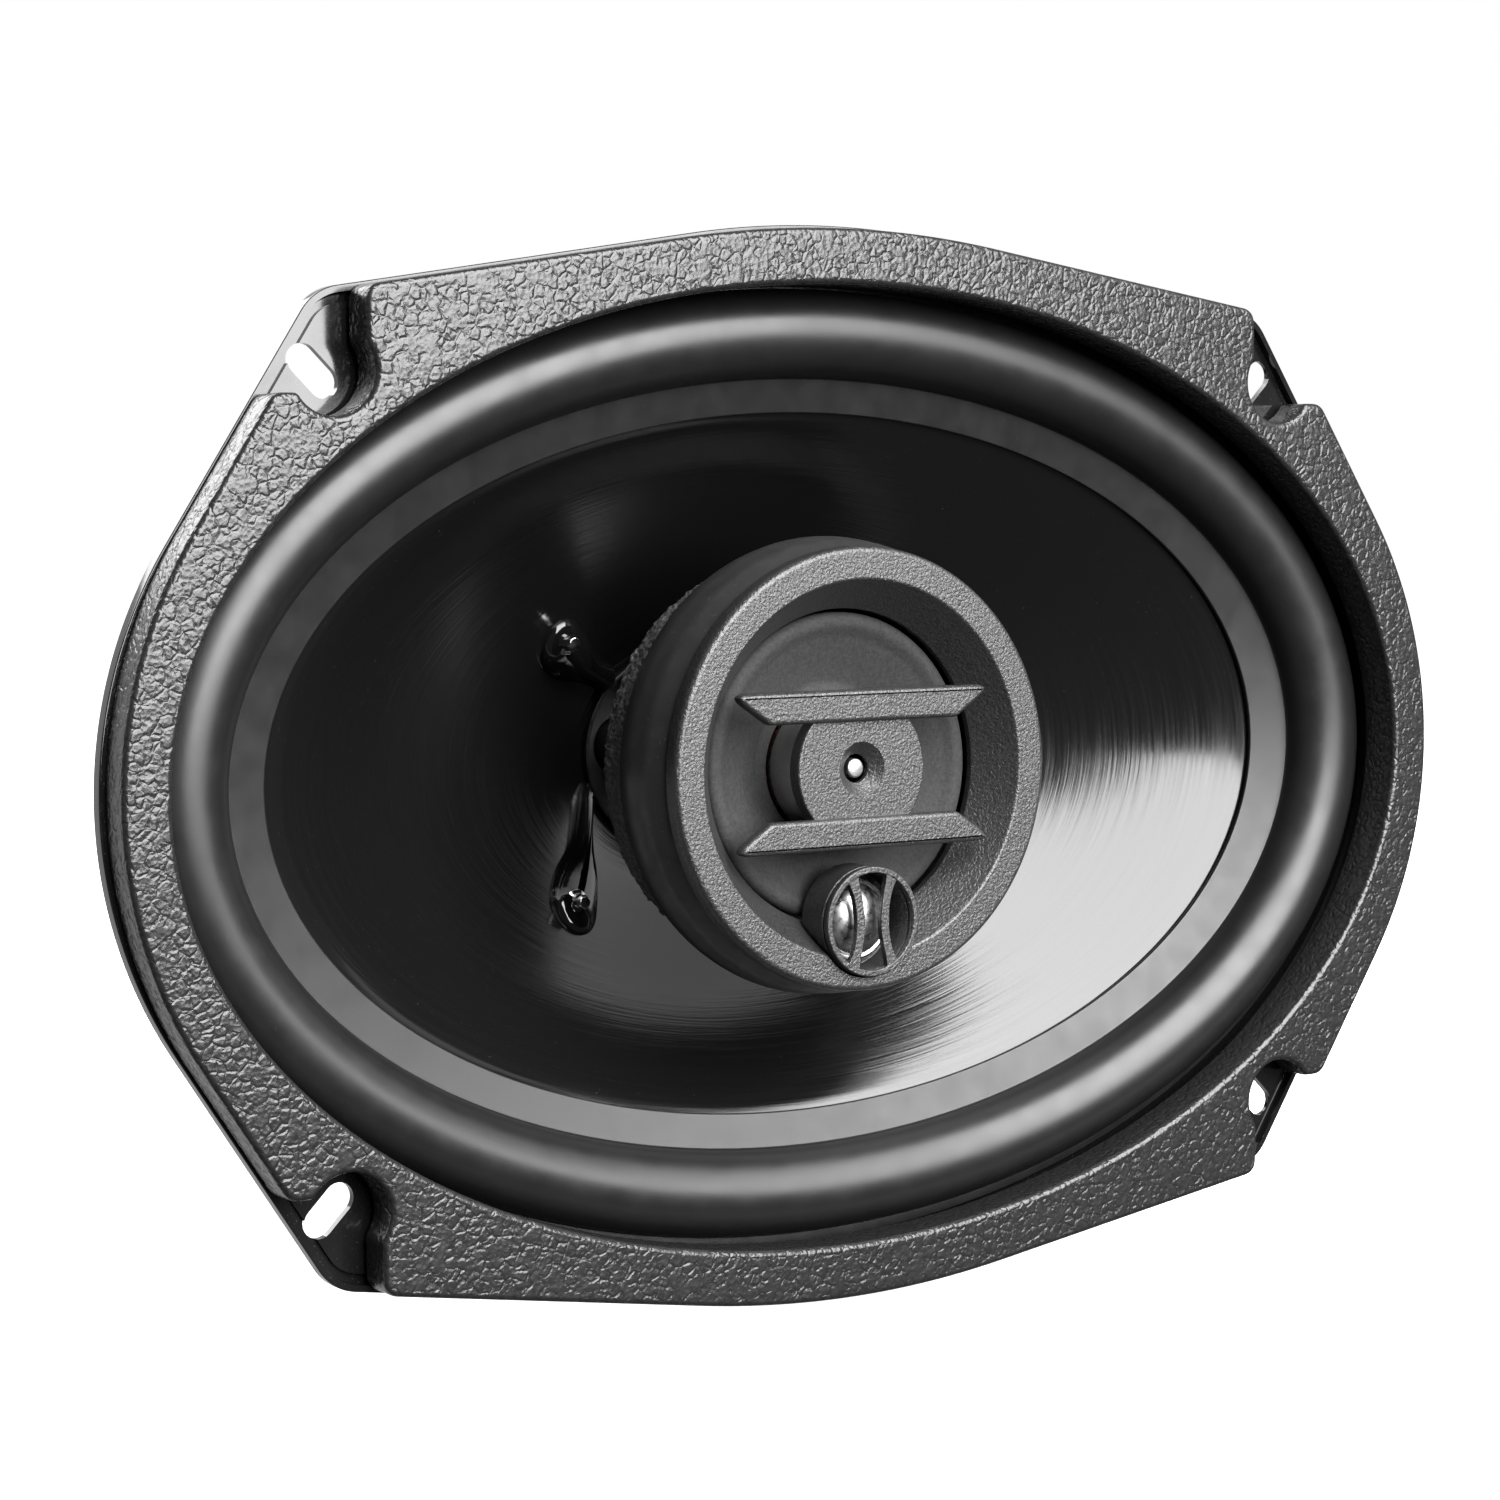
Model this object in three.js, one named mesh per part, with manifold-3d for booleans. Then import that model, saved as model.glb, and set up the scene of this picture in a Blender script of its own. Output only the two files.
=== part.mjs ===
// Oval coaxial car speaker (6 x 9 inch class), three-way.
//
// Frame: millimetres, X along the long axis, Z up, front of the speaker facing -Y.
// The origin is the centre of the mounting flange's rear face, where it seats on the car's baffle.
// Depths are therefore Y values: negative in front of the baffle, positive behind it.

import * as THREE from 'three';
import { mergeVertices } from 'three/addons/utils/BufferGeometryUtils.js';
import Module from 'manifold-3d';

const wasm = await Module();
wasm.setup();

// ---------------------------------------------------------------- driving dimensions

const GAP = 0.3;                  // air left between two pieces that touch
const OVAL_SIDES = 36;            // facets round an oval piece
const ROUND_SIDES = 24;           // facets round a circular piece

// Mounting flange: a rounded outline with four ears, pressed from sheet steel.
const SHEET = 1.2;
const FLANGE = {
  halfLength: 117.85,
  halfHeight: 81.5,
  side: { angle: 33, distance: 109.2 },    // straight edge from end arc to ear
  top: { angle: 81, distance: 82.35 },     // straight edge from top arc to ear
  earRadius: 8,
};
const LIP = { width: 1.0, height: 1.0 };
const SLOT = { x: 84.7, z: 58.64, width: 4.6, length: 9, angle: 45 };

// Rings of the front, each given by its half length, half height and depth.
const FLANGE_HOLE = [113.0, 75.5];
const GASKET_HOLE = [109.84, 72.39];
const GASKET = {
  halfLength: 117.0,
  halfHeight: 80.7,
  side: { angle: 33, distance: 108.8 },
  top: { angle: 81, distance: 81.9 },
  earRadius: 7,
  thickness: 6.9,
  step: 1.0,                               // the rear of the gasket stands inside the flange's lip
  biteRadius: 6.4,
  biteX: 79.6,
  biteZ: 55.4,
};
const ROLL = { centre: [103.6, 65.6], radius: 6.6, height: 6.2, footY: 4.4 };
const SURROUND_THICKNESS = 0.8;
const SURROUND_INNER = [90.14, 53.68, 5.5];
const SURROUND_FOOT = [96.8, 58.8, 4.1];
const SURROUND_OUTER = [111.9, 74.0];

// Woofer cone.
const CONE = {
  rim: [90.0, 53.6, 6.7],
  edge: [95.8, 57.8, 6.0, 5.4],            // glued under the surround's foot
  neckRadius: 16,
  neckY: 45.6,
  curve: 1.1,
  thickness: 0.8,
};
const EYELET = { x: -26.6, upperZ: 18.6, lowerZ: -21.6, radius: 1.4, hole: 1.75 };
const GLUE_START = { upper: [-12.6, 12.4], lower: [-17.0, -4.2] };

// Basket and motor depths.
const SPIDER_SHELF_Y = 48.2;
const SEAT_Y = 58.8;
const SEAT_RADIUS = 46;
const TOP_PLATE = { front: 60.3, rear: 65.3, bore: 17.3, radius: 41 };
const MAGNET = { front: 65.6, rear: 80.6, bore: 24, radius: 45 };
const BACK_PLATE = { front: 80.9, rear: 85.9, radius: 41, pole: 14.6, poleFront: 60.5, bore: 5 };
const BOOT = { front: 61, rear: 87.5, radius: 47.2, wall: 1.8, hole: 13 };
const FORMER = { inner: 15.2, outer: 15.7, front: 44.7, rear: 69 };
const WINDING = { inner: 16.0, outer: 16.8, front: 57, rear: 68.5 };
const RIVET = { circle: 33, count: 4, shank: 2.0, head: 3.5 };
const POST = { radius: 4.6, bore: 2.4, front: 13.9, rear: 88.9, flange: 9 };

// Centre pod, measured from the speaker's axis.
const POD_FACE_Y = -12.1;
const FACE_RING = { outer: 33.4, inner: 28.5, throat: 24.0 };
const GUARD = { face: -12.2, thickness: 2.4, discFace: -10.9, discRadius: 11.4, discThickness: 2.5 };
const COUNTERSINK = { radius: 4.1, hole: 2.2, depth: 1.7 };
const TWEETER = { z: -22.8, radius: 8.3, face: -13.6, barRadius: 10.4, barOffset: 2.1, barWidth: 1.3 };

// Terminal board on the left end spoke of the basket.
const TERMINAL = { x: -88.2, y: 31.3, tilt: 30.6, length: 16, width: 26, thickness: 3 };

// ---------------------------------------------------------------- helpers

const radians = (degrees) => THREE.MathUtils.degToRad(degrees);

// Closed solid from a three.js geometry, turned so that its faces point outwards.
function solid(geometry) {
  const plain = geometry.clone();
  plain.deleteAttribute('normal');
  plain.deleteAttribute('uv');
  const merged = mergeVertices(plain, 1e-4);
  const corners = merged.index.array;
  const position = merged.attributes.position;
  const triangles = [];
  for (let i = 0; i < corners.length; i += 3) {
    const [a, b, c] = [corners[i], corners[i + 1], corners[i + 2]];
    if (a !== b && b !== c && a !== c) triangles.push([a, b, c]);
  }
  const [p, q, r] = [new THREE.Vector3(), new THREE.Vector3(), new THREE.Vector3()];
  let volume = 0;
  for (const [a, b, c] of triangles) {
    p.fromBufferAttribute(position, a);
    q.fromBufferAttribute(position, b);
    r.fromBufferAttribute(position, c);
    volume += p.dot(q.cross(r)) / 6;
  }
  const outward = volume > 0 ? triangles : triangles.map(([a, b, c]) => [a, c, b]);
  return new wasm.Manifold(new wasm.Mesh({
    numProp: 3,
    vertProperties: new Float32Array(position.array),
    triVerts: new Uint32Array(outward.flat()),
  }));
}

// Ring whose section is a closed profile of [half length, half height, y] points.
function ovalRing(profile, sides = OVAL_SIDES) {
  const closed = [...profile, profile[0]];
  const points = closed.map(([a, , y]) => new THREE.Vector2(a, y));
  const geometry = new THREE.LatheGeometry(points, sides);
  const position = geometry.attributes.position;
  for (let i = 0; i < position.count; i += 1) {
    const [a, b] = closed[i % closed.length];
    if (a > 0) position.setZ(i, (position.getZ(i) * b) / a);
  }
  return solid(geometry);
}

// Ring or disc turned about the speaker's axis from a closed profile of [radius, y] points.
function turned(profile, sides = ROUND_SIDES) {
  return ovalRing(profile.map(([r, y]) => [r, r, y]), sides);
}

function washer(inner, outer, front, rear, sides = ROUND_SIDES) {
  return turned([[inner, front], [outer, front], [outer, rear], [inner, rear]], sides);
}

function tubeOf({ inner, outer, front, rear }) {
  return washer(inner, outer, front, rear);
}

// Disc or rod on an axis parallel to Y through x, z.
function rod(radius, front, rear, x = 0, z = 0, sides = 20) {
  const geometry = new THREE.CylinderGeometry(radius, radius, rear - front, sides);
  geometry.translate(x, (front + rear) / 2, z);
  return solid(geometry);
}

// Prism whose outline lies in the XZ plane, from its front depth to its rear depth.
function prism(outline, front, rear) {
  const shape = new THREE.Shape(outline);
  const geometry = new THREE.ExtrudeGeometry(shape, { depth: rear - front, bevelEnabled: false });
  geometry.rotateX(Math.PI / 2);
  geometry.translate(0, rear, 0);
  return solid(geometry);
}

function box(size, centre) {
  const geometry = new THREE.BoxGeometry(...size);
  geometry.translate(...centre);
  return solid(geometry);
}

// Round wire along a smooth curve through the given points.
function wire(points, radius, steps = 24, sides = 6) {
  const curve = new THREE.CatmullRomCurve3(points.map((point) => new THREE.Vector3(...point)));
  const section = new THREE.Shape();
  section.absarc(0, 0, radius, 0, 2 * Math.PI, false);
  const settings = { steps, curveSegments: sides / 2, extrudePath: curve, bevelEnabled: false };
  return solid(new THREE.ExtrudeGeometry(section, settings));
}

function ovalOutline(halfLength, halfHeight, sides = OVAL_SIDES) {
  const outline = [];
  for (let i = 0; i < sides; i += 1) {
    const angle = (2 * Math.PI * i) / sides;
    outline.push(new THREE.Vector2(halfLength * Math.cos(angle), halfHeight * Math.sin(angle)));
  }
  return outline;
}

// Outline with four ears, moved inwards by the given inset: end arc, ear corner and top arc of
// one quarter, joined by the straight edges and mirrored to the other three.
function earedOutline(sizes, inset = 0) {
  const { halfLength, halfHeight, earRadius } = sizes;
  const [sideTurn, topTurn] = [radians(sizes.side.angle), radians(sizes.top.angle)];
  const side = { cos: Math.cos(sideTurn), sin: Math.sin(sideTurn) };
  const top = { cos: Math.cos(topTurn), sin: Math.sin(topTurn) };
  const endRadius = (sizes.side.distance - halfLength * side.cos) / (1 - side.cos);
  const topRadius = (sizes.top.distance - halfHeight * top.sin) / (1 - top.sin);
  const [p, q] = [sizes.side.distance - earRadius, sizes.top.distance - earRadius];
  const determinant = side.cos * top.sin - side.sin * top.cos;
  const earX = (p * top.sin - side.sin * q) / determinant;
  const earZ = (side.cos * q - top.cos * p) / determinant;
  const arcs = [
    { x: halfLength - endRadius, z: 0, radius: endRadius, from: 0, to: sizes.side.angle, steps: 4 },
    { x: earX, z: earZ, radius: earRadius, from: sizes.side.angle, to: sizes.top.angle, steps: 4 },
    { x: 0, z: halfHeight - topRadius, radius: topRadius, from: sizes.top.angle, to: 90, steps: 2 },
  ];
  const quarter = [];
  for (const arc of arcs) {
    for (let i = 0; i <= arc.steps; i += 1) {
      const angle = radians(arc.from + ((arc.to - arc.from) * i) / arc.steps);
      const radius = arc.radius - inset;
      quarter.push([arc.x + radius * Math.cos(angle), arc.z + radius * Math.sin(angle)]);
    }
  }
  const back = quarter.slice(0, -1).reverse();
  const half = [...quarter, ...back.map(([x, z]) => [-x, z])];
  const lower = half.slice(1, -1).reverse().map(([x, z]) => [x, -z]);
  return [...half, ...lower].map(([x, z]) => new THREE.Vector2(x, z));
}

// The four mirrored copies of a point in the first quarter.
function inEachQuarter(x, z) {
  return [[x, z], [-x, z], [-x, -z], [x, -z]];
}

// Oval of the cone at a fraction of the way from rim to neck, as [half length, half height, y].
function coneRing(fraction) {
  const [a, b, y] = CONE.rim;
  return [
    a + (CONE.neckRadius - a) * fraction,
    b + (CONE.neckRadius - b) * fraction,
    y + (CONE.neckY - y) * fraction ** CONE.curve,
  ];
}

// Depth of the cone's front surface at a place in the XZ plane.
function coneDepth(x, z) {
  let [low, high] = [0, 1];
  for (let i = 0; i < 30; i += 1) {
    const middle = (low + high) / 2;
    const [a, b] = coneRing(middle);
    if ((x / a) ** 2 + (z / b) ** 2 < 1) low = middle;
    else high = middle;
  }
  return coneRing(low)[2];
}

const group = new THREE.Group();

// Adds one named piece to the speaker or to one of its sub-assemblies.
function piece(name, body, finish, parent = group) {
  const { vertProperties, triVerts, numProp } = body.getMesh();
  const geometry = new THREE.BufferGeometry();
  const positions = new Float32Array((vertProperties.length / numProp) * 3);
  for (let i = 0; i < positions.length; i += 1) {
    positions[i] = vertProperties[Math.floor(i / 3) * numProp + (i % 3)];
  }
  geometry.setAttribute('position', new THREE.BufferAttribute(positions, 3));
  geometry.setIndex(new THREE.BufferAttribute(new Uint32Array(triVerts), 1));
  geometry.computeVertexNormals();
  const mesh = new THREE.Mesh(geometry, new THREE.MeshStandardMaterial(finish));
  mesh.name = name;
  parent.add(mesh);
}

const GLOSS_STEEL = { color: 0x0c0c0d, roughness: 0.18, metalness: 0.6 };
const ZINC_STEEL = { color: 0x9a9c9e, roughness: 0.35, metalness: 1.0 };
const CHROME = { color: 0xd8d8da, roughness: 0.08, metalness: 1.0 };
const SATIN_PLASTIC = { color: 0x3c3d3f, roughness: 0.5, metalness: 0.2 };
const BLACK_RUBBER = { color: 0x141415, roughness: 0.55, metalness: 0.0 };
const FERRITE = { color: 0x2a2a2b, roughness: 0.7, metalness: 0.1 };
const COPPER = { color: 0xa05a32, roughness: 0.35, metalness: 1.0 };
const ADHESIVE = { color: 0x070707, roughness: 0.06, metalness: 0.0 };
const GASKET_RUBBER = { color: 0x4c4d4f, roughness: 0.6, metalness: 0.0 };
const CONE_FILM = { color: 0x0b0b0c, roughness: 0.22, metalness: 0.1 };
const SPIDER_CLOTH = { color: 0x8a7a4c, roughness: 0.9, metalness: 0.0 };
const FORMER_FOIL = { color: 0x8c8d8f, roughness: 0.4, metalness: 0.9 };
const SLEEVE_RUBBER = { color: 0x1c1c1e, roughness: 0.65, metalness: 0.0 };
const FOAM = { color: 0x101011, roughness: 0.95, metalness: 0.0 };
const FELT = { color: 0x303031, roughness: 0.95, metalness: 0.0 };
const TERMINAL_PLASTIC = { color: 0x18181a, roughness: 0.45, metalness: 0.0 };
const CAPACITOR_SLEEVE = { color: 0x232a3a, roughness: 0.4, metalness: 0.0 };

// ---------------------------------------------------------------- basket

// Sector that cuts one basket window between two spokes.
function windowCutter(from, to) {
  const [near, far] = [30, 150];
  const [front, rear] = [13, 41];
  const outline = [];
  for (const [radius, angle] of [[near, from], [far, from], [far, to], [near, to]]) {
    const turn = radians(angle);
    outline.push(new THREE.Vector2(radius * Math.cos(turn), radius * Math.sin(turn)));
  }
  return prism(outline, front, rear);
}

// Mounting slot as a rounded bar that points at the speaker's centre.
function slotCutter(x, z) {
  const [straight, radius] = [(SLOT.length - SLOT.width) / 2, SLOT.width / 2];
  const tilt = radians(SLOT.angle);
  const direction = Math.atan2(Math.sign(z) * Math.sin(tilt), Math.sign(x) * Math.cos(tilt));
  const outline = [];
  for (const [end, turn] of [[1, -90], [-1, 90]]) {
    for (let i = 0; i <= 4; i += 1) {
      const angle = direction + radians(turn + 45 * i);
      outline.push(new THREE.Vector2(
        x + end * straight * Math.cos(direction) + radius * Math.cos(angle),
        z + end * straight * Math.sin(direction) + radius * Math.sin(angle),
      ));
    }
  }
  return prism(outline, -5, 5);
}

function basketFrame() {
  const wall = ovalRing([
    [112.4, 74.9, -SHEET], [112.4, 74.9, 4.6], [108.8, 71.3, 4.6], [106.4, 69.2, 12],
    [98.0, 63.8, 24], [76, 57, 37], [54, 54, 46.6], [52.5, 52.5, SPIDER_SHELF_Y],
    [47.5, 47.5, SPIDER_SHELF_Y], [45, 45, SEAT_Y], [24, 24, SEAT_Y],
    [24, 24, SEAT_Y + SHEET], [SEAT_RADIUS, SEAT_RADIUS, SEAT_Y + SHEET],
    [48.6, 48.6, SPIDER_SHELF_Y + SHEET], [53.2, 53.2, SPIDER_SHELF_Y + SHEET],
    [55.2, 55.2, 47.7], [77, 58.2, 38.2], [99.2, 65, 24.6], [107.6, 70.4, 12.3],
    [109.8, 72.3, 5.8], [113.6, 76.1, 5.8], [113.6, 76.1, -SHEET],
  ]);
  let flange = prism(earedOutline(FLANGE), -SHEET, 0);
  flange = flange.subtract(prism(ovalOutline(...FLANGE_HOLE), -5, 5));
  const lip = prism(earedOutline(FLANGE), -SHEET - LIP.height, -SHEET / 2)
    .subtract(prism(earedOutline(FLANGE, LIP.width), -5, 5));
  let basket = flange.add(lip).add(wall);
  for (const [from, to] of [[10, 48], [62, 118], [132, 170], [190, 228], [242, 298], [312, 350]]) {
    basket = basket.subtract(windowCutter(from, to));
  }
  for (const [x, z] of inEachQuarter(SLOT.x, SLOT.z)) basket = basket.subtract(slotCutter(x, z));
  for (const [x, z] of rivetPlaces()) {
    basket = basket.subtract(rod(RIVET.shank + GAP, SEAT_Y - 1, SEAT_Y + 2, x, z, 12));
  }
  return basket;
}

function rivetPlaces() {
  const places = [];
  for (let i = 0; i < RIVET.count; i += 1) {
    const angle = radians(45 + (360 / RIVET.count) * i);
    places.push([RIVET.circle * Math.cos(angle), RIVET.circle * Math.sin(angle)]);
  }
  return places;
}

function motorRivet([x, z]) {
  const head = rod(RIVET.head, SEAT_Y - 1.8, SEAT_Y - GAP, x, z, 12);
  return head.add(rod(RIVET.shank, SEAT_Y - 1, TOP_PLATE.front + 3.4, x, z, 12));
}

// Thick rubber gasket that seals the flange to the grille, cut away round each ear slot.
function gasket() {
  const rear = -SHEET - GAP;
  const front = rear - GASKET.thickness;
  const overLip = -SHEET - LIP.height - GAP;
  let ring = prism(earedOutline(GASKET), front, overLip);
  ring = ring.add(prism(earedOutline(GASKET, GASKET.step), overLip - 1, rear));
  ring = ring.subtract(prism(ovalOutline(...GASKET_HOLE), front - 1, rear + 1));
  for (const [x, z] of inEachQuarter(SLOT.x, SLOT.z)) {
    const corner = [
      Math.sign(x) * (GASKET.biteX + 25), (front + rear) / 2, Math.sign(z) * (GASKET.biteZ + 25),
    ];
    ring = ring.subtract(rod(GASKET.biteRadius, front - 1, rear + 1, x, z));
    ring = ring.subtract(box([50, GASKET.thickness + 2, 50], corner));
  }
  return ring;
}

piece('basket_frame', basketFrame(), GLOSS_STEEL);
piece('gasket', gasket(), GASKET_RUBBER);

// ---------------------------------------------------------------- woofer

// Half-roll rubber surround with a flat foot on each side.
function surround() {
  const [frontSide, rearSide] = [[SURROUND_INNER, SURROUND_FOOT], []];
  const [centreA, centreB] = ROLL.centre;
  const thin = ROLL.radius - SURROUND_THICKNESS;
  const thinHeight = ROLL.height - SURROUND_THICKNESS;
  const frontFoot = ROLL.footY - SURROUND_THICKNESS;
  const rearFoot = ROLL.footY - 0.1;
  const steps = 5;
  for (let i = 0; i <= steps; i += 1) {
    const angle = Math.PI * (1 - i / steps);
    const [c, s] = [Math.cos(angle), Math.sin(angle)];
    const outside = ROLL.radius * c;
    const inside = thin * c;
    frontSide.push([centreA + outside, centreB + outside, frontFoot - ROLL.height * s]);
    rearSide.push([centreA + inside, centreB + inside, rearFoot - thinHeight * s]);
  }
  const [innerA, innerB, innerY] = SURROUND_INNER;
  const [outerA, outerB] = SURROUND_OUTER;
  frontSide.push([outerA, outerB, rearFoot - SURROUND_THICKNESS], [outerA, outerB, rearFoot]);
  rearSide.reverse();
  rearSide.push([SURROUND_FOOT[0], SURROUND_FOOT[1], SURROUND_FOOT[2] + SURROUND_THICKNESS]);
  rearSide.push([innerA, innerB, innerY + SURROUND_THICKNESS]);
  return ovalRing([...frontSide, ...rearSide]);
}

function wooferCone() {
  const fractions = [0, 0.4, 1];
  const front = fractions.map(coneRing);
  const rear = front.map(([a, b, y], i) => [
    i === front.length - 1 ? a : a + 0.3,
    i === front.length - 1 ? b : b + 0.5,
    y + CONE.thickness,
  ]).reverse();
  const [edgeA, edgeB, edgeRear, edgeFront] = CONE.edge;
  let cone = ovalRing([[edgeA, edgeB, edgeRear], [edgeA, edgeB, edgeFront], ...front, ...rear]);
  for (const z of [EYELET.upperZ, EYELET.lowerZ]) {
    cone = cone.subtract(rod(EYELET.hole, 20, 50, EYELET.x, z, 12));
  }
  return cone;
}

// Corrugated cloth disc that centres the voice coil.
function spider() {
  const [inner, outer, waves, steps] = [CONE.neckRadius, 46, 2, 8];
  const [middleY, amplitude, half] = [47.5, 1.2, 0.3];
  const line = [];
  for (let i = 0; i <= steps; i += 1) {
    const fraction = i / steps;
    const lift = amplitude * Math.sin(2 * Math.PI * waves * fraction) * Math.min(1, 4 * fraction);
    line.push([inner + (outer - inner) * fraction, middleY - lift]);
  }
  line.push([51.8, middleY]);
  const front = line.map(([r, y]) => [r, y - half]);
  const rear = line.map(([r, y]) => [r, y + half]).reverse();
  return turned([...front, ...rear]);
}

// Black adhesive bead that carries a voice-coil wire up the cone from the neck to its eyelet.
function leadGlue([startX, startZ], eyeletZ) {
  const points = [];
  const [radius, lift, steps] = [2.2, 4.0, 4];
  for (let i = 0; i <= steps; i += 1) {
    const x = THREE.MathUtils.lerp(startX, EYELET.x, i / steps);
    const z = THREE.MathUtils.lerp(startZ, eyeletZ, i / steps);
    points.push([x, coneDepth(x, z) - lift, z]);
  }
  return wire(points, radius, 6, 8).subtract(rod(EYELET.hole, 0, 60, EYELET.x, eyeletZ, 12));
}

function leadEyelet(z) {
  const y = coneDepth(EYELET.x, z);
  return rod(EYELET.radius, y - 6.2, y + 4, EYELET.x, z, 12);
}

piece('surround', surround(), BLACK_RUBBER);
piece('woofer_cone', wooferCone(), CONE_FILM);
piece('spider', spider(), SPIDER_CLOTH);
piece('voice_coil_former', tubeOf(FORMER), FORMER_FOIL);
piece('voice_coil_winding', tubeOf(WINDING), COPPER);
piece('lead_glue_upper', leadGlue(GLUE_START.upper, EYELET.upperZ), ADHESIVE);
piece('lead_glue_lower', leadGlue(GLUE_START.lower, EYELET.lowerZ), ADHESIVE);
piece('lead_eyelet_upper', leadEyelet(EYELET.upperZ), CHROME);
piece('lead_eyelet_lower', leadEyelet(EYELET.lowerZ), CHROME);

// ---------------------------------------------------------------- motor

function topPlate() {
  let plate = washer(TOP_PLATE.bore, TOP_PLATE.radius, TOP_PLATE.front, TOP_PLATE.rear);
  const [front, rear] = [TOP_PLATE.front - 1, TOP_PLATE.front + 3.8];
  for (const [x, z] of rivetPlaces()) {
    plate = plate.subtract(rod(RIVET.shank + GAP, front, rear, x, z, 12));
  }
  return plate;
}

function backPlate() {
  return turned([
    [BACK_PLATE.bore, BACK_PLATE.poleFront], [BACK_PLATE.pole, BACK_PLATE.poleFront],
    [BACK_PLATE.pole, BACK_PLATE.front], [BACK_PLATE.radius, BACK_PLATE.front],
    [BACK_PLATE.radius, BACK_PLATE.rear], [BACK_PLATE.bore, BACK_PLATE.rear],
  ]);
}

// Moulded rubber cover that grips the magnet's edge and leaves the vent and nut open.
function magnetBoot() {
  const inner = BOOT.radius - BOOT.wall;
  return turned([
    [inner, BOOT.front], [BOOT.radius, BOOT.front], [BOOT.radius, BOOT.rear - 2],
    [BOOT.radius - 2, BOOT.rear], [BOOT.hole, BOOT.rear], [BOOT.hole, BACK_PLATE.rear + GAP],
    [inner, BACK_PLATE.rear + GAP],
  ], 28);
}

// Hollow stem through the pole that holds the centre pod and carries its wires.
function centrePost() {
  return turned([
    [POST.bore, POST.front], [POST.flange, POST.front], [POST.flange, POST.front + 1.5],
    [POST.radius, POST.front + 1.5], [POST.radius, POST.rear], [POST.bore, POST.rear],
  ], 24);
}

function postNut() {
  const [front, rear, acrossCorners] = [BACK_PLATE.rear + GAP, BACK_PLATE.rear + 2.7, 14];
  const nut = rod(acrossCorners / 2, front, rear, 0, 0, 6);
  return nut.subtract(rod(POST.radius + GAP, front - 1, rear + 1));
}

piece('top_plate', topPlate(), ZINC_STEEL);
rivetPlaces().forEach((place, i) => piece(`motor_rivet_${i + 1}`, motorRivet(place), ZINC_STEEL));
piece('magnet_ring', washer(MAGNET.bore, MAGNET.radius, MAGNET.front, MAGNET.rear), FERRITE);
piece('back_plate', backPlate(), ZINC_STEEL);
piece('magnet_boot', magnetBoot(), BLACK_RUBBER);
piece('centre_post', centrePost(), ZINC_STEEL);
piece('post_nut', postNut(), ZINC_STEEL);

// ---------------------------------------------------------------- centre pod

// Bowl-shaped front moulding, notched at the bottom for the tweeter.
function faceRing() {
  const { outer, inner, throat } = FACE_RING;
  const ring = turned([
    [outer, -9.2], [outer, -10.9], [outer - 0.35, -11.7], [outer - 1.1, POD_FACE_Y],
    [inner + 0.3, POD_FACE_Y], [inner, POD_FACE_Y + 0.4], [throat, -5.7], [throat, -4.4],
    [throat + 2, -4.4], [29, -9.2],
  ], 32);
  return ring.subtract(rod(TWEETER.radius + GAP, -20, -6.1, 0, TWEETER.z, 32));
}

// One straight guard bar: a trapezium whose long edge faces away from the centre.
function guardBar(side) {
  const [nearHalf, farHalf, nearZ, farZ] = [16.9, 24.0, 7.2, 12.0];
  const outline = [
    [-nearHalf, nearZ], [nearHalf, nearZ], [farHalf, farZ - 0.6], [farHalf - 0.4, farZ],
    [-farHalf + 0.4, farZ], [-farHalf, farZ - 0.6],
  ];
  const points = outline.map(([x, z]) => new THREE.Vector2(x, side * z));
  return prism(points, GUARD.face, GUARD.face + GUARD.thickness);
}

// Guard in front of the midrange: two bars bridged by a disc with a countersunk hole.
function midrangeGuard() {
  const rear = GUARD.discFace + GUARD.discThickness;
  const disc = rod(GUARD.discRadius, GUARD.discFace, rear, 0, 0, 40);
  const sink = turned([
    [0, GUARD.discFace - 1], [COUNTERSINK.radius + 1.2, GUARD.discFace - 1],
    [COUNTERSINK.hole, GUARD.discFace + COUNTERSINK.depth], [COUNTERSINK.hole, rear + 1],
    [0, rear + 1],
  ], 24);
  return disc.add(guardBar(1)).add(guardBar(-1)).subtract(sink);
}

// Cup that carries the midrange; its stepped rear sits inside the foam collar.
function podHousing() {
  return turned([
    [31.2, -6], [31.2, 4.5], [27, 4.5], [27, 13.6], [2.6, 13.6], [2.6, 12.2], [25.6, 12.2],
    [25.6, 3.1], [29.6, 3.1], [29.6, -6],
  ]);
}

// Soft outer sleeve of the pod, slightly barrel-shaped.
function podSleeve() {
  return turned([
    [33, -8.9], [34.3, -5], [35, -0.4], [34.4, 2.8], [31.6, 4.4],
    [31.5, 3.2], [33.5, -0.4], [32.9, -5], [31.6, -8.9],
  ], 28);
}

function phasePlug() {
  return turned([[0, 1.2], [10.7, 1.2], [10.7, -8.1], [9.9, -8.1], [9.9, 0.2], [0, 0.2]], 24);
}

function midrangeCone() {
  return turned([
    [23.2, -4.5], [21.8, -5.1], [20.2, -4.3], [12.4, -0.7],
    [12.4, 0], [20.2, -3.6], [21.8, -4.4], [23.2, -3.8],
  ]);
}

function midrangeYoke() {
  return turned([[1.5, 1.5], [10.8, 1.5], [10.8, 10.7], [18, 10.7], [18, 11.9], [1.5, 11.9]], 24);
}

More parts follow.
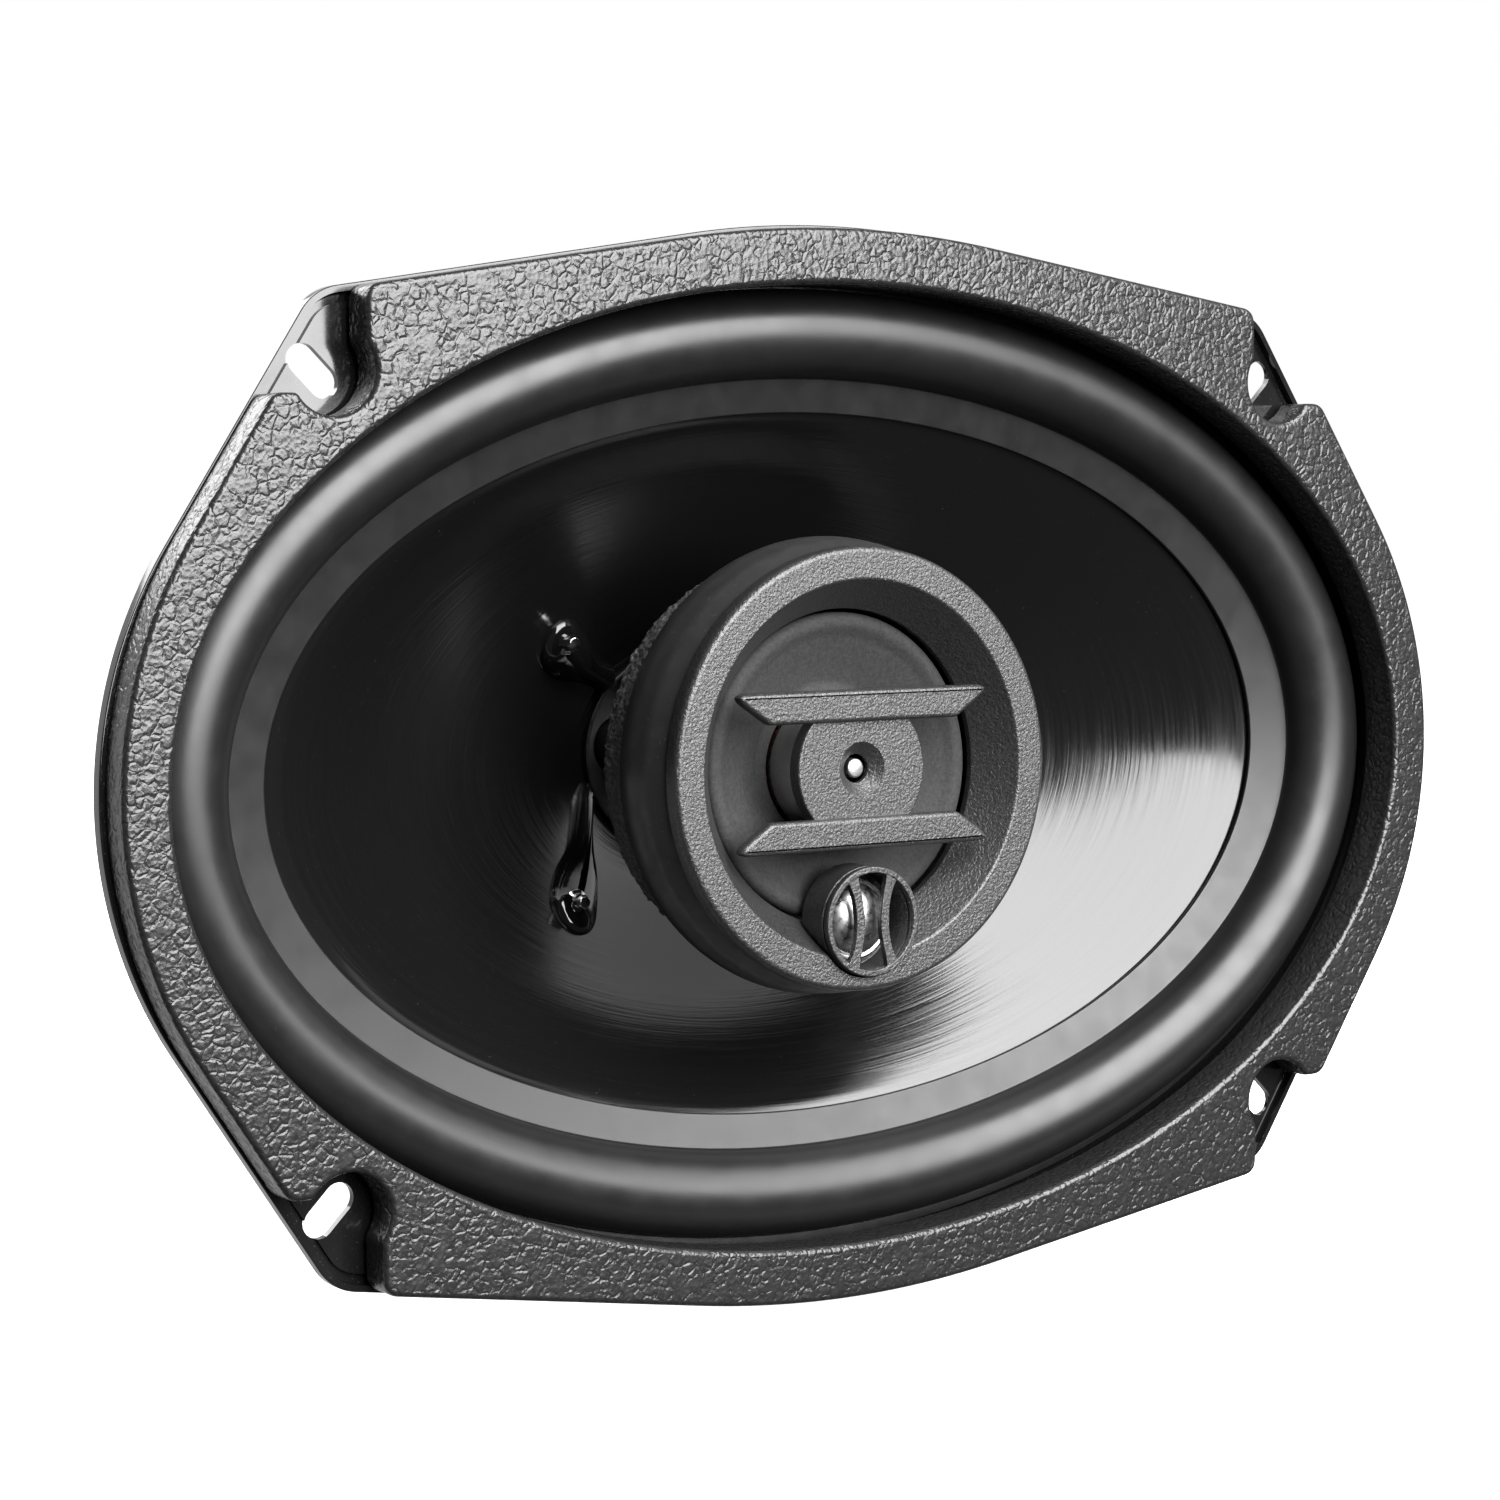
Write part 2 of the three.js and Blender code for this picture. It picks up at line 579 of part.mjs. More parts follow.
piece('pod_housing', podHousing(), SATIN_PLASTIC);
piece('pod_sleeve', podSleeve(), SLEEVE_RUBBER);
piece('foam_collar', washer(27.3, 31, 4.9, 13.4), FOAM);
piece('face_ring', faceRing(), SATIN_PLASTIC);
piece('midrange_guard', midrangeGuard(), SATIN_PLASTIC);
piece('phase_plug', phasePlug(), CHROME);
piece('phase_plug_pin', rod(1.5, -9.2, -0.1, 0, 0, 16), CHROME);
piece('midrange_cone', midrangeCone(), FELT);
piece('midrange_voice_coil', washer(11.3, 12.1, -0.6, 6.5), COPPER);
piece('midrange_top_plate', washer(12.6, 18, 3.4, 4.9), ZINC_STEEL);
piece('midrange_magnet', washer(13.2, 18, 5.2, 10.4), FERRITE);
piece('midrange_yoke', midrangeYoke(), ZINC_STEEL);

// ---------------------------------------------------------------- tweeter

const tweeter = new THREE.Group();
tweeter.position.set(0, 0, TWEETER.z);
group.add(tweeter);

// Rim with two slim guard bars that bow towards each other.
function tweeterBezel() {
  const [front, rear] = [TWEETER.face, TWEETER.face + 1.2];
  const rimInner = TWEETER.radius - 1;
  const inside = rod(rimInner + 0.4, front, rear, 0, 0, 24);
  const half = TWEETER.barWidth / 2;
  let bezel = washer(rimInner, TWEETER.radius, front, rear);
  for (const side of [1, -1]) {
    const bar = washer(TWEETER.barRadius - half, TWEETER.barRadius + half, front + 0.15, rear, 32);
    const x = side * (TWEETER.barOffset + TWEETER.barRadius);
    bezel = bezel.add(bar.translate([x, 0, 0]).intersect(inside));
  }
  return bezel;
}

function tweeterCup() {
  const [outer, inner] = [TWEETER.radius, TWEETER.radius - 0.9];
  const [front, rear] = [-12.1, -6.4];
  return turned([
    [outer, front], [outer, rear], [0, rear], [0, rear - 0.8], [inner, rear - 0.8], [inner, front],
  ], 24);
}

function tweeterDome() {
  return turned([
    [0, -11.3], [2.3, -10.9], [4.2, -9.9], [5.6, -8.3], [6.6, -8.2], [6.6, -7.8],
    [5.3, -7.8], [3.9, -9.5], [2.1, -10.4], [0, -10.8],
  ], 20);
}

piece('tweeter_bezel', tweeterBezel(), SATIN_PLASTIC, tweeter);
piece('tweeter_cup', tweeterCup(), SATIN_PLASTIC, tweeter);
piece('tweeter_dome', tweeterDome(), CHROME, tweeter);
piece('tweeter_magnet', rod(4.2, -8.5, -7.5), ZINC_STEEL, tweeter);

// ---------------------------------------------------------------- terminals and wiring

const terminalBoard = new THREE.Group();
terminalBoard.position.set(TERMINAL.x, TERMINAL.y, 0);
terminalBoard.rotation.z = radians(TERMINAL.tilt);
group.add(terminalBoard);

// In the board's own frame Y points away from the basket spoke.
const BOARD_REST = SHEET + 0.6;
const BOARD_TOP = BOARD_REST + TERMINAL.thickness;
const TAB = { thickness: 0.8, length: 8, z: 7.5, pocket: 1.6 };
const BOARD_RIVET = { x: -5.5, z: 10.5, shank: 1.5, head: 2.6 };

function terminalBlock() {
  const middle = (BOARD_REST + BOARD_TOP) / 2;
  let block = box([TERMINAL.length, TERMINAL.thickness, TERMINAL.width], [0, middle, 0]);
  block = block.add(box([3, TERMINAL.thickness + 4, 2], [0, middle + 2, 0]));
  for (const z of [TAB.z, -TAB.z]) {
    const pocket = box([TAB.thickness + 2 * GAP, TAB.pocket * 2, 6.3 + 2 * GAP], [0, BOARD_TOP, z]);
    block = block.subtract(pocket);
  }
  for (const z of [BOARD_RIVET.z, -BOARD_RIVET.z]) {
    block = block.subtract(rod(BOARD_RIVET.shank + GAP, 0, 9, BOARD_RIVET.x, z, 12));
  }
  return block;
}

function tabBlade(width) {
  const bottom = BOARD_TOP - TAB.pocket + GAP;
  const height = TAB.length + TAB.pocket - GAP;
  const blade = box([TAB.thickness, height, width], [0, bottom + height / 2, 0]);
  return blade.subtract(box([3, 1.6, 1.6], [0, BOARD_TOP + TAB.length - 3, 0]));
}

function boardRivet(z) {
  const { x, shank, head } = BOARD_RIVET;
  return rod(shank, BOARD_REST, BOARD_TOP + 0.5, x, z, 12)
    .add(rod(head, BOARD_TOP + GAP, BOARD_TOP + 1.4, x, z, 12));
}

piece('terminal_block', terminalBlock(), TERMINAL_PLASTIC, terminalBoard);
piece('terminal_positive', tabBlade(6.3).translate([0, 0, TAB.z]), ZINC_STEEL, terminalBoard);
piece('terminal_negative', tabBlade(4.8).translate([0, 0, -TAB.z]), ZINC_STEEL, terminalBoard);
piece('terminal_rivet_upper', boardRivet(BOARD_RIVET.z), ZINC_STEEL, terminalBoard);
piece('terminal_rivet_lower', boardRivet(-BOARD_RIVET.z), ZINC_STEEL, terminalBoard);

// Woven lead from the cone's eyelet, out through the basket window, to the terminal board.
function tinselLead(eyeletZ) {
  const side = Math.sign(eyeletZ);
  const start = coneDepth(EYELET.x, eyeletZ) + 4 + GAP + 1.2;
  return wire([
    [EYELET.x, start, eyeletZ], [-34, 42, side * 23], [-48, 36, side * 24], [-64, 33, side * 22],
    [-78, 34.5, side * 20.5], [-86, 38.5, side * 17.5], [-90.5, 40.3, side * 14.0],
  ], 0.8, 16);
}

// Insulated wire from the terminals, round the motor and into the rear mouth of the post.
function podWire(side) {
  const rear = BOOT.rear;
  return wire([
    [-94.5, 42.0, side * 2.6], [-88, 46.5, side * 2.4], [-74, 53, side * 2], [-62, 62, side * 1.8],
    [-52.5, 71, side * 1.6], [-49.6, 80, side * 1.5], [-47.5, rear + 1.4, side * 1.4],
    [-41, rear + 1.6, side * 1.3], [-18, rear + 1.3, side * 1.1], [-6, rear + 3.3, side * 1.0],
    [-0.6, rear + 3.4, side * 0.95], [0, rear - 1, side * 0.95],
  ], 0.7, 30);
}

piece('tinsel_lead_positive', tinselLead(EYELET.upperZ), COPPER);
piece('tinsel_lead_negative', tinselLead(EYELET.lowerZ), COPPER);
piece('pod_wire_positive', podWire(1), BLACK_RUBBER);
piece('pod_wire_negative', podWire(-1), BLACK_RUBBER);

// Tweeter crossover capacitor, glued in the corner between the spider shelf and the motor seat.
const CAPACITOR = { radius: 5, length: 21, x: -39, z: 39, y: 55.2 };
const capacitorMount = new THREE.Group();
capacitorMount.position.set(CAPACITOR.x, CAPACITOR.y, CAPACITOR.z);
capacitorMount.rotation.y = radians(45);
group.add(capacitorMount);

function capacitor() {
  const { radius, length } = CAPACITOR;
  const body = new THREE.CapsuleGeometry(radius, length - 2 * radius, 2, 14);
  body.rotateX(Math.PI / 2);
  const cut = length / 2 + 3.2;
  return solid(body)
    .subtract(box([20, 20, 10], [0, 0, cut]))
    .subtract(box([20, 20, 10], [0, 0, -cut]));
}

piece('crossover_capacitor', capacitor(), CAPACITOR_SLEEVE, capacitorMount);

export default group;
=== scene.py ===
"""Looks of the oval coaxial car speaker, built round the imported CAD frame.

Blender works in metres. Profiles and outlines below are in millimetres, as they are on the part's
drawing, and MM turns them into metres when a mesh is made. X runs along the oval's long axis, Z is
up and the front of the speaker faces -Y. A depth is a Y value: negative in front of the flange.
"""
import math

import bmesh
import bpy
import numpy as np
from mathutils import Matrix, Vector
from mathutils.geometry import tessellate_polygon


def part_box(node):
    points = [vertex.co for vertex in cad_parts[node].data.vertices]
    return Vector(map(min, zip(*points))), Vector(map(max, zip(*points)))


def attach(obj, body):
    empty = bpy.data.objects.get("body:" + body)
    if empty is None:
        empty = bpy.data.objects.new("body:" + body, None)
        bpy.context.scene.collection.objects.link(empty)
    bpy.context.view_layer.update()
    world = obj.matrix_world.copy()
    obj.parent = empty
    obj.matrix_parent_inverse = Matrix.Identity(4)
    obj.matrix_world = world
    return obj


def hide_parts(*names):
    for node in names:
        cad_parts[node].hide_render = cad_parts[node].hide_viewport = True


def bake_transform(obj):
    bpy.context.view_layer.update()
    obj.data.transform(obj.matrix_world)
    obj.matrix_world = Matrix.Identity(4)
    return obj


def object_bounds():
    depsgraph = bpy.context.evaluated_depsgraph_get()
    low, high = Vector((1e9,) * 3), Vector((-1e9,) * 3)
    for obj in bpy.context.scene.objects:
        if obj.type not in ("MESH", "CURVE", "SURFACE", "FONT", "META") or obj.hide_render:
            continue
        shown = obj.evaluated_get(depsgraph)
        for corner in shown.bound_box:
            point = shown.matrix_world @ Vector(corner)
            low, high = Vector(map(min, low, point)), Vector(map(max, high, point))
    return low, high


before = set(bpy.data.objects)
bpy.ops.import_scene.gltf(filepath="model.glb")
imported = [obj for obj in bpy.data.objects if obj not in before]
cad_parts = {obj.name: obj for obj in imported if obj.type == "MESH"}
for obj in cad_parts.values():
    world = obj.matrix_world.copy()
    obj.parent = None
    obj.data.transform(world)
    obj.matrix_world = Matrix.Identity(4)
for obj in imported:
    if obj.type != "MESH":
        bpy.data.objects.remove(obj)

MM = 0.001
CAD_LOW, CAD_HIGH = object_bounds()
BASKET, CONE_BODY = "basket_body", "cone_body"
MIDRANGE, TWEETER_BODY = "midrange_body", "tweeter_body"


class Span:
    """Sizes of a CAD node in millimetres: half length, half height, front and rear depth."""

    def __init__(self, node):
        low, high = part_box(node)
        self.half_length = (high.x - low.x) / 2 / MM
        self.half_height = (high.z - low.z) / 2 / MM
        self.front, self.rear = low.y / MM, high.y / MM
        self.x, self.z = (high.x + low.x) / 2 / MM, (high.z + low.z) / 2 / MM


# ---------------------------------------------------------------- camera, light and floor

CAMERA_PLACE = (-0.29503, -0.44141, 0.03749)
CAMERA_AZIMUTH, CAMERA_DROP, CAMERA_ROLL = -32.58, 3.78, -0.64
CAMERA_LENS, CAMERA_SENSOR = 83.72, 36.0


def make_camera():
    azimuth, drop, roll = (math.radians(v) for v in (CAMERA_AZIMUTH, CAMERA_DROP, CAMERA_ROLL))
    forward = Vector((
        -math.sin(azimuth) * math.cos(drop),
        math.cos(azimuth) * math.cos(drop),
        -math.sin(drop),
    ))
    level_right = forward.cross(Vector((0, 0, 1))).normalized()
    level_up = level_right.cross(forward)
    right = math.cos(roll) * level_right + math.sin(roll) * level_up
    up = -math.sin(roll) * level_right + math.cos(roll) * level_up
    camera = bpy.data.objects.new("camera", bpy.data.cameras.new("camera"))
    camera.data.lens = CAMERA_LENS
    camera.data.sensor_width = CAMERA_SENSOR
    camera.data.clip_start = 0.01
    turn = Matrix((right, up, -forward)).transposed().to_4x4()
    camera.matrix_world = Matrix.Translation(CAMERA_PLACE) @ turn
    bpy.context.scene.collection.objects.link(camera)
    bpy.context.scene.camera = camera


def direction(azimuth, elevation):
    """Unit vector at an azimuth from the speaker's front, towards +X, and an elevation, in degrees."""
    a, e = math.radians(azimuth), math.radians(elevation)
    return Vector((math.sin(a) * math.cos(e), -math.cos(a) * math.cos(e), math.sin(e)))


def softbox(name, azimuth, elevation, distance, width, height, power):
    light = bpy.data.lights.new(name, "AREA")
    light.shape = "RECTANGLE"
    light.size, light.size_y = width, height
    light.energy = power
    lamp = bpy.data.objects.new(name, light)
    toward = direction(azimuth, elevation)
    lamp.location = toward * distance
    lamp.rotation_mode = "QUATERNION"
    lamp.rotation_quaternion = toward.to_track_quat("Z", "Y")
    bpy.context.scene.collection.objects.link(lamp)


def make_world():
    """White surroundings to the camera; for the object, dim in front and bright behind."""
    world = bpy.data.worlds.new("studio")
    world.use_nodes = True
    bpy.context.scene.world = world
    nodes, links = world.node_tree.nodes, world.node_tree.links
    background = nodes["Background"]
    place = nodes.new("ShaderNodeTexCoord")
    split = nodes.new("ShaderNodeSeparateXYZ")
    links.new(place.outputs["Generated"], split.inputs[0])
    fade = nodes.new("ShaderNodeMapRange")
    fade.interpolation_type = "SMOOTHSTEP"
    for socket, value in zip(("From Min", "From Max", "To Min", "To Max"), (0.25, 0.8, 0.10, 0.95)):
        fade.inputs[socket].default_value = value
    links.new(split.outputs["Y"], fade.inputs["Value"])
    path = nodes.new("ShaderNodeLightPath")
    shown = nodes.new("ShaderNodeMix")
    links.new(path.outputs["Is Camera Ray"], shown.inputs["Factor"])
    links.new(fade.outputs["Result"], shown.inputs["A"])
    shown.inputs["B"].default_value = 1.0
    links.new(shown.outputs["Result"], background.inputs["Strength"])
    background.inputs["Color"].default_value = (1, 1, 1, 1)


def make_floor(level):
    mesh = bpy.data.meshes.new("floor")
    reach = 6.0
    corners = [(-reach, -reach, 0), (reach, -reach, 0), (reach, reach, 0), (-reach, reach, 0)]
    mesh.from_pydata(corners, [], [(0, 1, 2, 3)])
    floor = bpy.data.objects.new("floor", mesh)
    floor.location.z = level
    paint = bpy.data.materials.new("floor_paint")
    paint.use_nodes = True
    shader = paint.node_tree.nodes["Principled BSDF"]
    shader.inputs["Base Color"].default_value = (0.85, 0.85, 0.85, 1)
    shader.inputs["Roughness"].default_value = 0.9
    shader.inputs["Specular IOR Level"].default_value = 0.0
    shader.inputs["Emission Color"].default_value = (1, 1, 1, 1)
    shader.inputs["Emission Strength"].default_value = 1.0
    mesh.materials.append(paint)
    floor.visible_glossy = False
    floor.visible_diffuse = False
    bpy.context.scene.collection.objects.link(floor)


def make_studio():
    make_camera()
    make_world()
    softbox("key_softbox", 11, 31, 1.2, 1.12, 1.44, 84)
    softbox("side_fill", 66, 36, 1.3, 0.7, 0.95, 1.9)
    softbox("rear_fill", 200, 35, 1.4, 1.0, 0.8, 14)
    make_floor(CAD_LOW.z - 0.0005)
    bpy.context.scene.view_settings.view_transform = "Standard"


# ---------------------------------------------------------------- materials

class Finish:
    """A Principled material with the small node graph that varies it over the surface."""

    def __init__(self, name, colour, roughness, metallic=0.0, specular=0.5):
        self.material = bpy.data.materials.new(name)
        self.material.use_nodes = True
        self.nodes = self.material.node_tree.nodes
        self.links = self.material.node_tree.links
        self.shader = self.nodes["Principled BSDF"]
        self.shader.inputs["Base Color"].default_value = (*colour, 1)
        self.shader.inputs["Roughness"].default_value = roughness
        self.shader.inputs["Metallic"].default_value = metallic
        self.shader.inputs["Specular IOR Level"].default_value = specular
        self.colour, self.roughness = colour, roughness
        self.place = self.nodes.new("ShaderNodeTexCoord").outputs["Object"]
        self.surface = None

    def stretched(self, x, y, z):
        """Object coordinates multiplied along each axis, so that a pattern runs along the others."""
        node = self.nodes.new("ShaderNodeMapping")
        node.inputs["Scale"].default_value = (x, y, z)
        self.links.new(self.place, node.inputs["Vector"])
        return node.outputs["Vector"]

    def noise(self, scale, detail=3.0, vector=None, output="Fac"):
        node = self.nodes.new("ShaderNodeTexNoise")
        node.inputs["Scale"].default_value = scale
        node.inputs["Detail"].default_value = detail
        self.links.new(vector or self.place, node.inputs["Vector"])
        return node.outputs[output]

    def cells(self, scale, feature="DISTANCE_TO_EDGE", vector=None):
        node = self.nodes.new("ShaderNodeTexVoronoi")
        node.feature = feature
        node.inputs["Scale"].default_value = scale
        self.links.new(vector or self.place, node.inputs["Vector"])
        return node.outputs["Distance"]

    def waves(self, scale, vector, distortion=0.0):
        node = self.nodes.new("ShaderNodeTexWave")
        node.bands_direction = "X"
        node.inputs["Scale"].default_value = scale
        node.inputs["Distortion"].default_value = distortion
        self.links.new(vector, node.inputs["Vector"])
        return node.outputs["Fac"]

    def warped(self, scale, amount, vector=None):
        """Coordinates pushed about by noise, amount in metres."""
        centred = self.nodes.new("ShaderNodeVectorMath")
        centred.operation = "SUBTRACT"
        centred.inputs[1].default_value = (0.5, 0.5, 0.5)
        self.links.new(self.noise(scale, 2.0, vector, "Color"), centred.inputs[0])
        node = self.nodes.new("ShaderNodeVectorMath")
        node.operation = "MULTIPLY_ADD"
        node.inputs[1].default_value = (2 * amount,) * 3
        self.links.new(centred.outputs[0], node.inputs[0])
        self.links.new(vector or self.place, node.inputs[2])
        return node.outputs[0]

    def remap(self, value, low, high, to_low=0.0, to_high=1.0):
        node = self.nodes.new("ShaderNodeMapRange")
        numbers = (low, high, to_low, to_high)
        for socket, number in zip(("From Min", "From Max", "To Min", "To Max"), numbers):
            node.inputs[socket].default_value = number
        self.links.new(value, node.inputs["Value"])
        return node.outputs["Result"]

    def maths(self, operation, first, second):
        node = self.nodes.new("ShaderNodeMath")
        node.operation = operation
        for socket, value in zip(node.inputs, (first, second)):
            if isinstance(value, (int, float)):
                socket.default_value = value
            else:
                self.links.new(value, socket)
        return node.outputs[0]

    def tint(self, value, dark, light):
        """Base colour between two shades of the finish's own colour."""
        node = self.nodes.new("ShaderNodeMix")
        node.data_type = "RGBA"
        self.links.new(value, node.inputs["Factor"])
        node.inputs["A"].default_value = (*(c * dark for c in self.colour), 1)
        node.inputs["B"].default_value = (*(c * light for c in self.colour), 1)
        self.links.new(node.outputs["Result"], self.shader.inputs["Base Color"])

    def gloss(self, value, low, high):
        """Roughness between two factors of the finish's own roughness."""
        result = self.remap(value, 0.3, 0.7, self.roughness * low, self.roughness * high)
        self.links.new(result, self.shader.inputs["Roughness"])

    def relief(self, height, depth, strength=1.0):
        """Adds a bump layer whose full height is depth millimetres."""
        node = self.nodes.new("ShaderNodeBump")
        node.inputs["Distance"].default_value = depth * MM
        node.inputs["Strength"].default_value = strength
        self.links.new(height, node.inputs["Height"])
        if self.surface is not None:
            self.links.new(self.surface, node.inputs["Normal"])
        self.surface = node.outputs["Normal"]
        self.links.new(self.surface, self.shader.inputs["Normal"])


def grey(value):
    return (value, value, value * 1.01)


def gloss_steel():
    """Black electrocoat: nearly a mirror, with a faint orange peel and a little dust."""
    finish = Finish("black_steel", grey(0.006), 0.10)
    finish.relief(finish.noise(420, 2.0), 0.02, 0.35)
    finish.gloss(finish.noise(180, 4.0), 0.7, 1.8)
    finish.tint(finish.remap(finish.noise(2600, 2.0), 0.66, 0.74), 1.0, 5.0)
    return finish


def grained_gasket():
    """Leather grain: flat plateaus parted by thin broken creases, over a finer pebble, with painted shade
    tinting the creases darker.
    """
    finish = Finish("gasket_rubber", grey(0.012), 0.27)
    creases = finish.remap(finish.cells(640, vector=finish.warped(500, 0.0005)), 0.0, 0.20)
    parted = finish.remap(finish.noise(520, 1.0), 0.48, 0.60)
    fine = finish.remap(finish.cells(1300, "F1", finish.warped(900, 0.0003)), 0.1, 0.8)
    main = finish.maths("MAXIMUM", creases, parted)
    finish.relief(fine, 0.05, 0.8)
    finish.relief(main, 0.07, 0.9)
    finish.gloss(finish.noise(700, 3.0), 0.85, 1.2)
    # Painted shade: the tint makes the creases darker than the plateaus between them.
    finish.tint(main, 0.85, 1.05)
    return finish


def surround_rubber():
    finish = Finish("surround_rubber", grey(0.006), 0.36)
    finish.relief(finish.noise(5200, 3.0), 0.012, 0.55)
    finish.relief(finish.noise(160, 2.0), 0.10, 0.12)
    finish.gloss(finish.noise(240, 4.0), 0.9, 1.12)
    finish.tint(finish.remap(finish.noise(1900, 2.0), 0.70, 0.76), 1.0, 2.6)
    return finish


def cone_film():
    """Glossy film with fine turned lines that follow the cone round at one depth."""
    finish = Finish("cone_film", grey(0.0035), 0.13)
    lines = finish.noise(1.0, 3.0, finish.stretched(55, 4200, 55))
    broad = finish.noise(1.0, 2.0, finish.stretched(16, 1300, 16))
    finish.relief(lines, 0.022, 0.75)
    finish.relief(broad, 0.03, 0.40)
    finish.gloss(lines, 0.75, 1.5)
    finish.tint(finish.remap(finish.noise(3000, 2.0), 0.72, 0.78), 1.0, 8.0)
    return finish


def sanded_plastic():
    """Charcoal moulding with a fine sandy grain and a trace of metallic flake."""
    finish = Finish("satin_plastic", grey(0.030), 0.33, 0.3, 0.85)
    sand = finish.noise(2300, 3.0, finish.warped(1500, 0.0004))
    finish.relief(finish.remap(sand, 0.3, 0.7), 0.075, 0.9)
    finish.gloss(sand, 0.85, 1.25)
    finish.tint(finish.remap(sand, 0.35, 0.7), 0.75, 1.25)
    return finish


def clouded(finish, bump, sheen, shade):
    """Gives a finish one bump layer, and noise in its roughness and its colour. Each of the three is
    the noise's scale and detail, and then the two numbers that relief, gloss or tint takes."""
    finish.relief(finish.noise(*bump[:2]), *bump[2:])
    finish.gloss(finish.noise(*sheen[:2]), *sheen[2:])
    finish.tint(finish.noise(*shade[:2]), *shade[2:])
    return finish


def moulded_plastic(name, shade, roughness):
    finish = Finish(name, grey(shade), roughness)
    return clouded(finish, (1500, 3.0, 0.02, 0.4), (300, 3.0, 0.85, 1.2), (260, 3.0, 0.8, 1.2))


def soft_sleeve():
    finish = Finish("sleeve_rubber", grey(0.016), 0.48)
    finish.relief(finish.noise(2600, 3.0), 0.02, 0.45)
    finish.gloss(finish.noise(400, 3.0), 0.9, 1.15)
    finish.tint(finish.remap(finish.noise(2400, 2.0), 0.68, 0.74), 1.0, 3.5)
    return finish


def open_foam():
    finish = Finish("open_foam", grey(0.034), 0.5)
    pores = finish.cells(1300, "F1", finish.warped(900, 0.0004))
    finish.relief(pores, 0.35, 1.0)
    # Painted shade: the pits of the pores are tinted darker than the skin between them.
    finish.tint(finish.remap(pores, 0.15, 0.6), 0.5, 1.8)
    return finish


def felt_paper():
    """Pressed paper: short tangled fibres, mottled, quite matt."""
    finish = Finish("felt_paper", grey(0.013), 0.8)
    fibres = finish.noise(1.0, 4.0, finish.stretched(1500, 900, 2600))
    across = finish.noise(1.0, 4.0, finish.stretched(2800, 900, 1300))
    tangle = finish.maths("MAXIMUM", fibres, across)
    finish.relief(tangle, 0.09, 0.8)
    finish.tint(finish.remap(tangle, 0.42, 0.72), 0.55, 1.6)
    return finish


def bright_metal(name, shade, roughness):
    finish = Finish(name, grey(shade), roughness, 1.0)
    return clouded(finish, (350, 2.0, 0.01, 0.2), (900, 4.0, 0.7, 1.6), (140, 3.0, 0.92, 1.05))


def plated_steel():
    """Zinc-plated steel: turned lines about the axis under a cloudy passivated skin."""
    finish = Finish("zinc_steel", (0.46, 0.46, 0.47), 0.34, 1.0)
    finish.relief(finish.noise(1.0, 3.0, finish.stretched(700, 3500, 700)), 0.015, 0.4)
    finish.gloss(finish.noise(260, 4.0), 0.75, 1.35)
    finish.tint(finish.noise(90, 4.0), 0.8, 1.15)
    return finish


def blacked_steel():
    """Turned steel under a matt black oxide."""
    finish = Finish("blacked_steel", grey(0.010), 0.5)
    finish.relief(finish.noise(1.0, 3.0, finish.stretched(700, 3500, 700)), 0.012, 0.4)
    finish.gloss(finish.noise(260, 4.0), 0.85, 1.3)
    finish.tint(finish.noise(400, 4.0), 0.7, 1.6)
    return finish


def sintered_ferrite():
    finish = Finish("ferrite", grey(0.035), 0.62)
    finish.relief(finish.noise(1400, 5.0), 0.06, 0.7)
    finish.relief(finish.remap(finish.cells(220, "F1"), 0.0, 0.12), 0.12, 0.5)
    finish.gloss(finish.noise(300, 3.0), 0.8, 1.2)
    finish.tint(finish.noise(420, 4.0), 0.65, 1.5)
    return finish


def boot_vinyl():
    finish = Finish("boot_rubber", grey(0.014), 0.42)
    finish.relief(finish.noise(1800, 4.0), 0.03, 0.5)
    finish.relief(finish.noise(60, 2.0), 0.2, 0.15)
    finish.gloss(finish.noise(220, 3.0), 0.85, 1.25)
    finish.tint(finish.noise(500, 3.0), 0.8, 1.3)
    return finish


def wet_adhesive():
    finish = Finish("black_adhesive", grey(0.003), 0.035)
    finish.relief(finish.noise(260, 2.0), 0.18, 0.35)
    finish.gloss(finish.noise(700, 3.0), 0.8, 1.6)
    finish.tint(finish.remap(finish.noise(2200, 2.0), 0.72, 0.78), 1.0, 8.0)
    return finish


def spider_cloth():
    """Resin-dipped cotton, a plain weave seen through a satin varnish."""
    finish = Finish("spider_cloth", (0.33, 0.235, 0.10), 0.62)
    warp = finish.waves(420, finish.stretched(1, 0, 0), 0.4)
    weft = finish.waves(420, finish.stretched(0, 0, 1), 0.4)
    weave = finish.maths("MULTIPLY", warp, weft)
    finish.relief(weave, 0.06, 0.6)
    finish.gloss(finish.noise(200, 3.0), 0.85, 1.2)
    finish.tint(finish.remap(weave, 0.1, 0.8), 0.6, 1.15)
    return finish


def wound_copper():
    finish = Finish("copper_winding", (0.55, 0.22, 0.10), 0.28, 1.0)
    return clouded(finish, (900, 2.0, 0.01, 0.3), (500, 3.0, 0.8, 1.3), (300, 3.0, 0.8, 1.15))


def tinsel_braid():
    finish = Finish("tinsel_braid", (0.50, 0.30, 0.16), 0.38, 1.0)
    return clouded(finish, (3200, 2.0, 0.03, 0.6), (900, 3.0, 0.8, 1.3), (1500, 3.0, 0.6, 1.25))


def shrink_sleeve():
    finish = Finish("capacitor_sleeve", (0.012, 0.02, 0.055), 0.24)
    return clouded(finish, (300, 2.0, 0.05, 0.3), (250, 3.0, 0.8, 1.3), (200, 3.0, 0.8, 1.25))


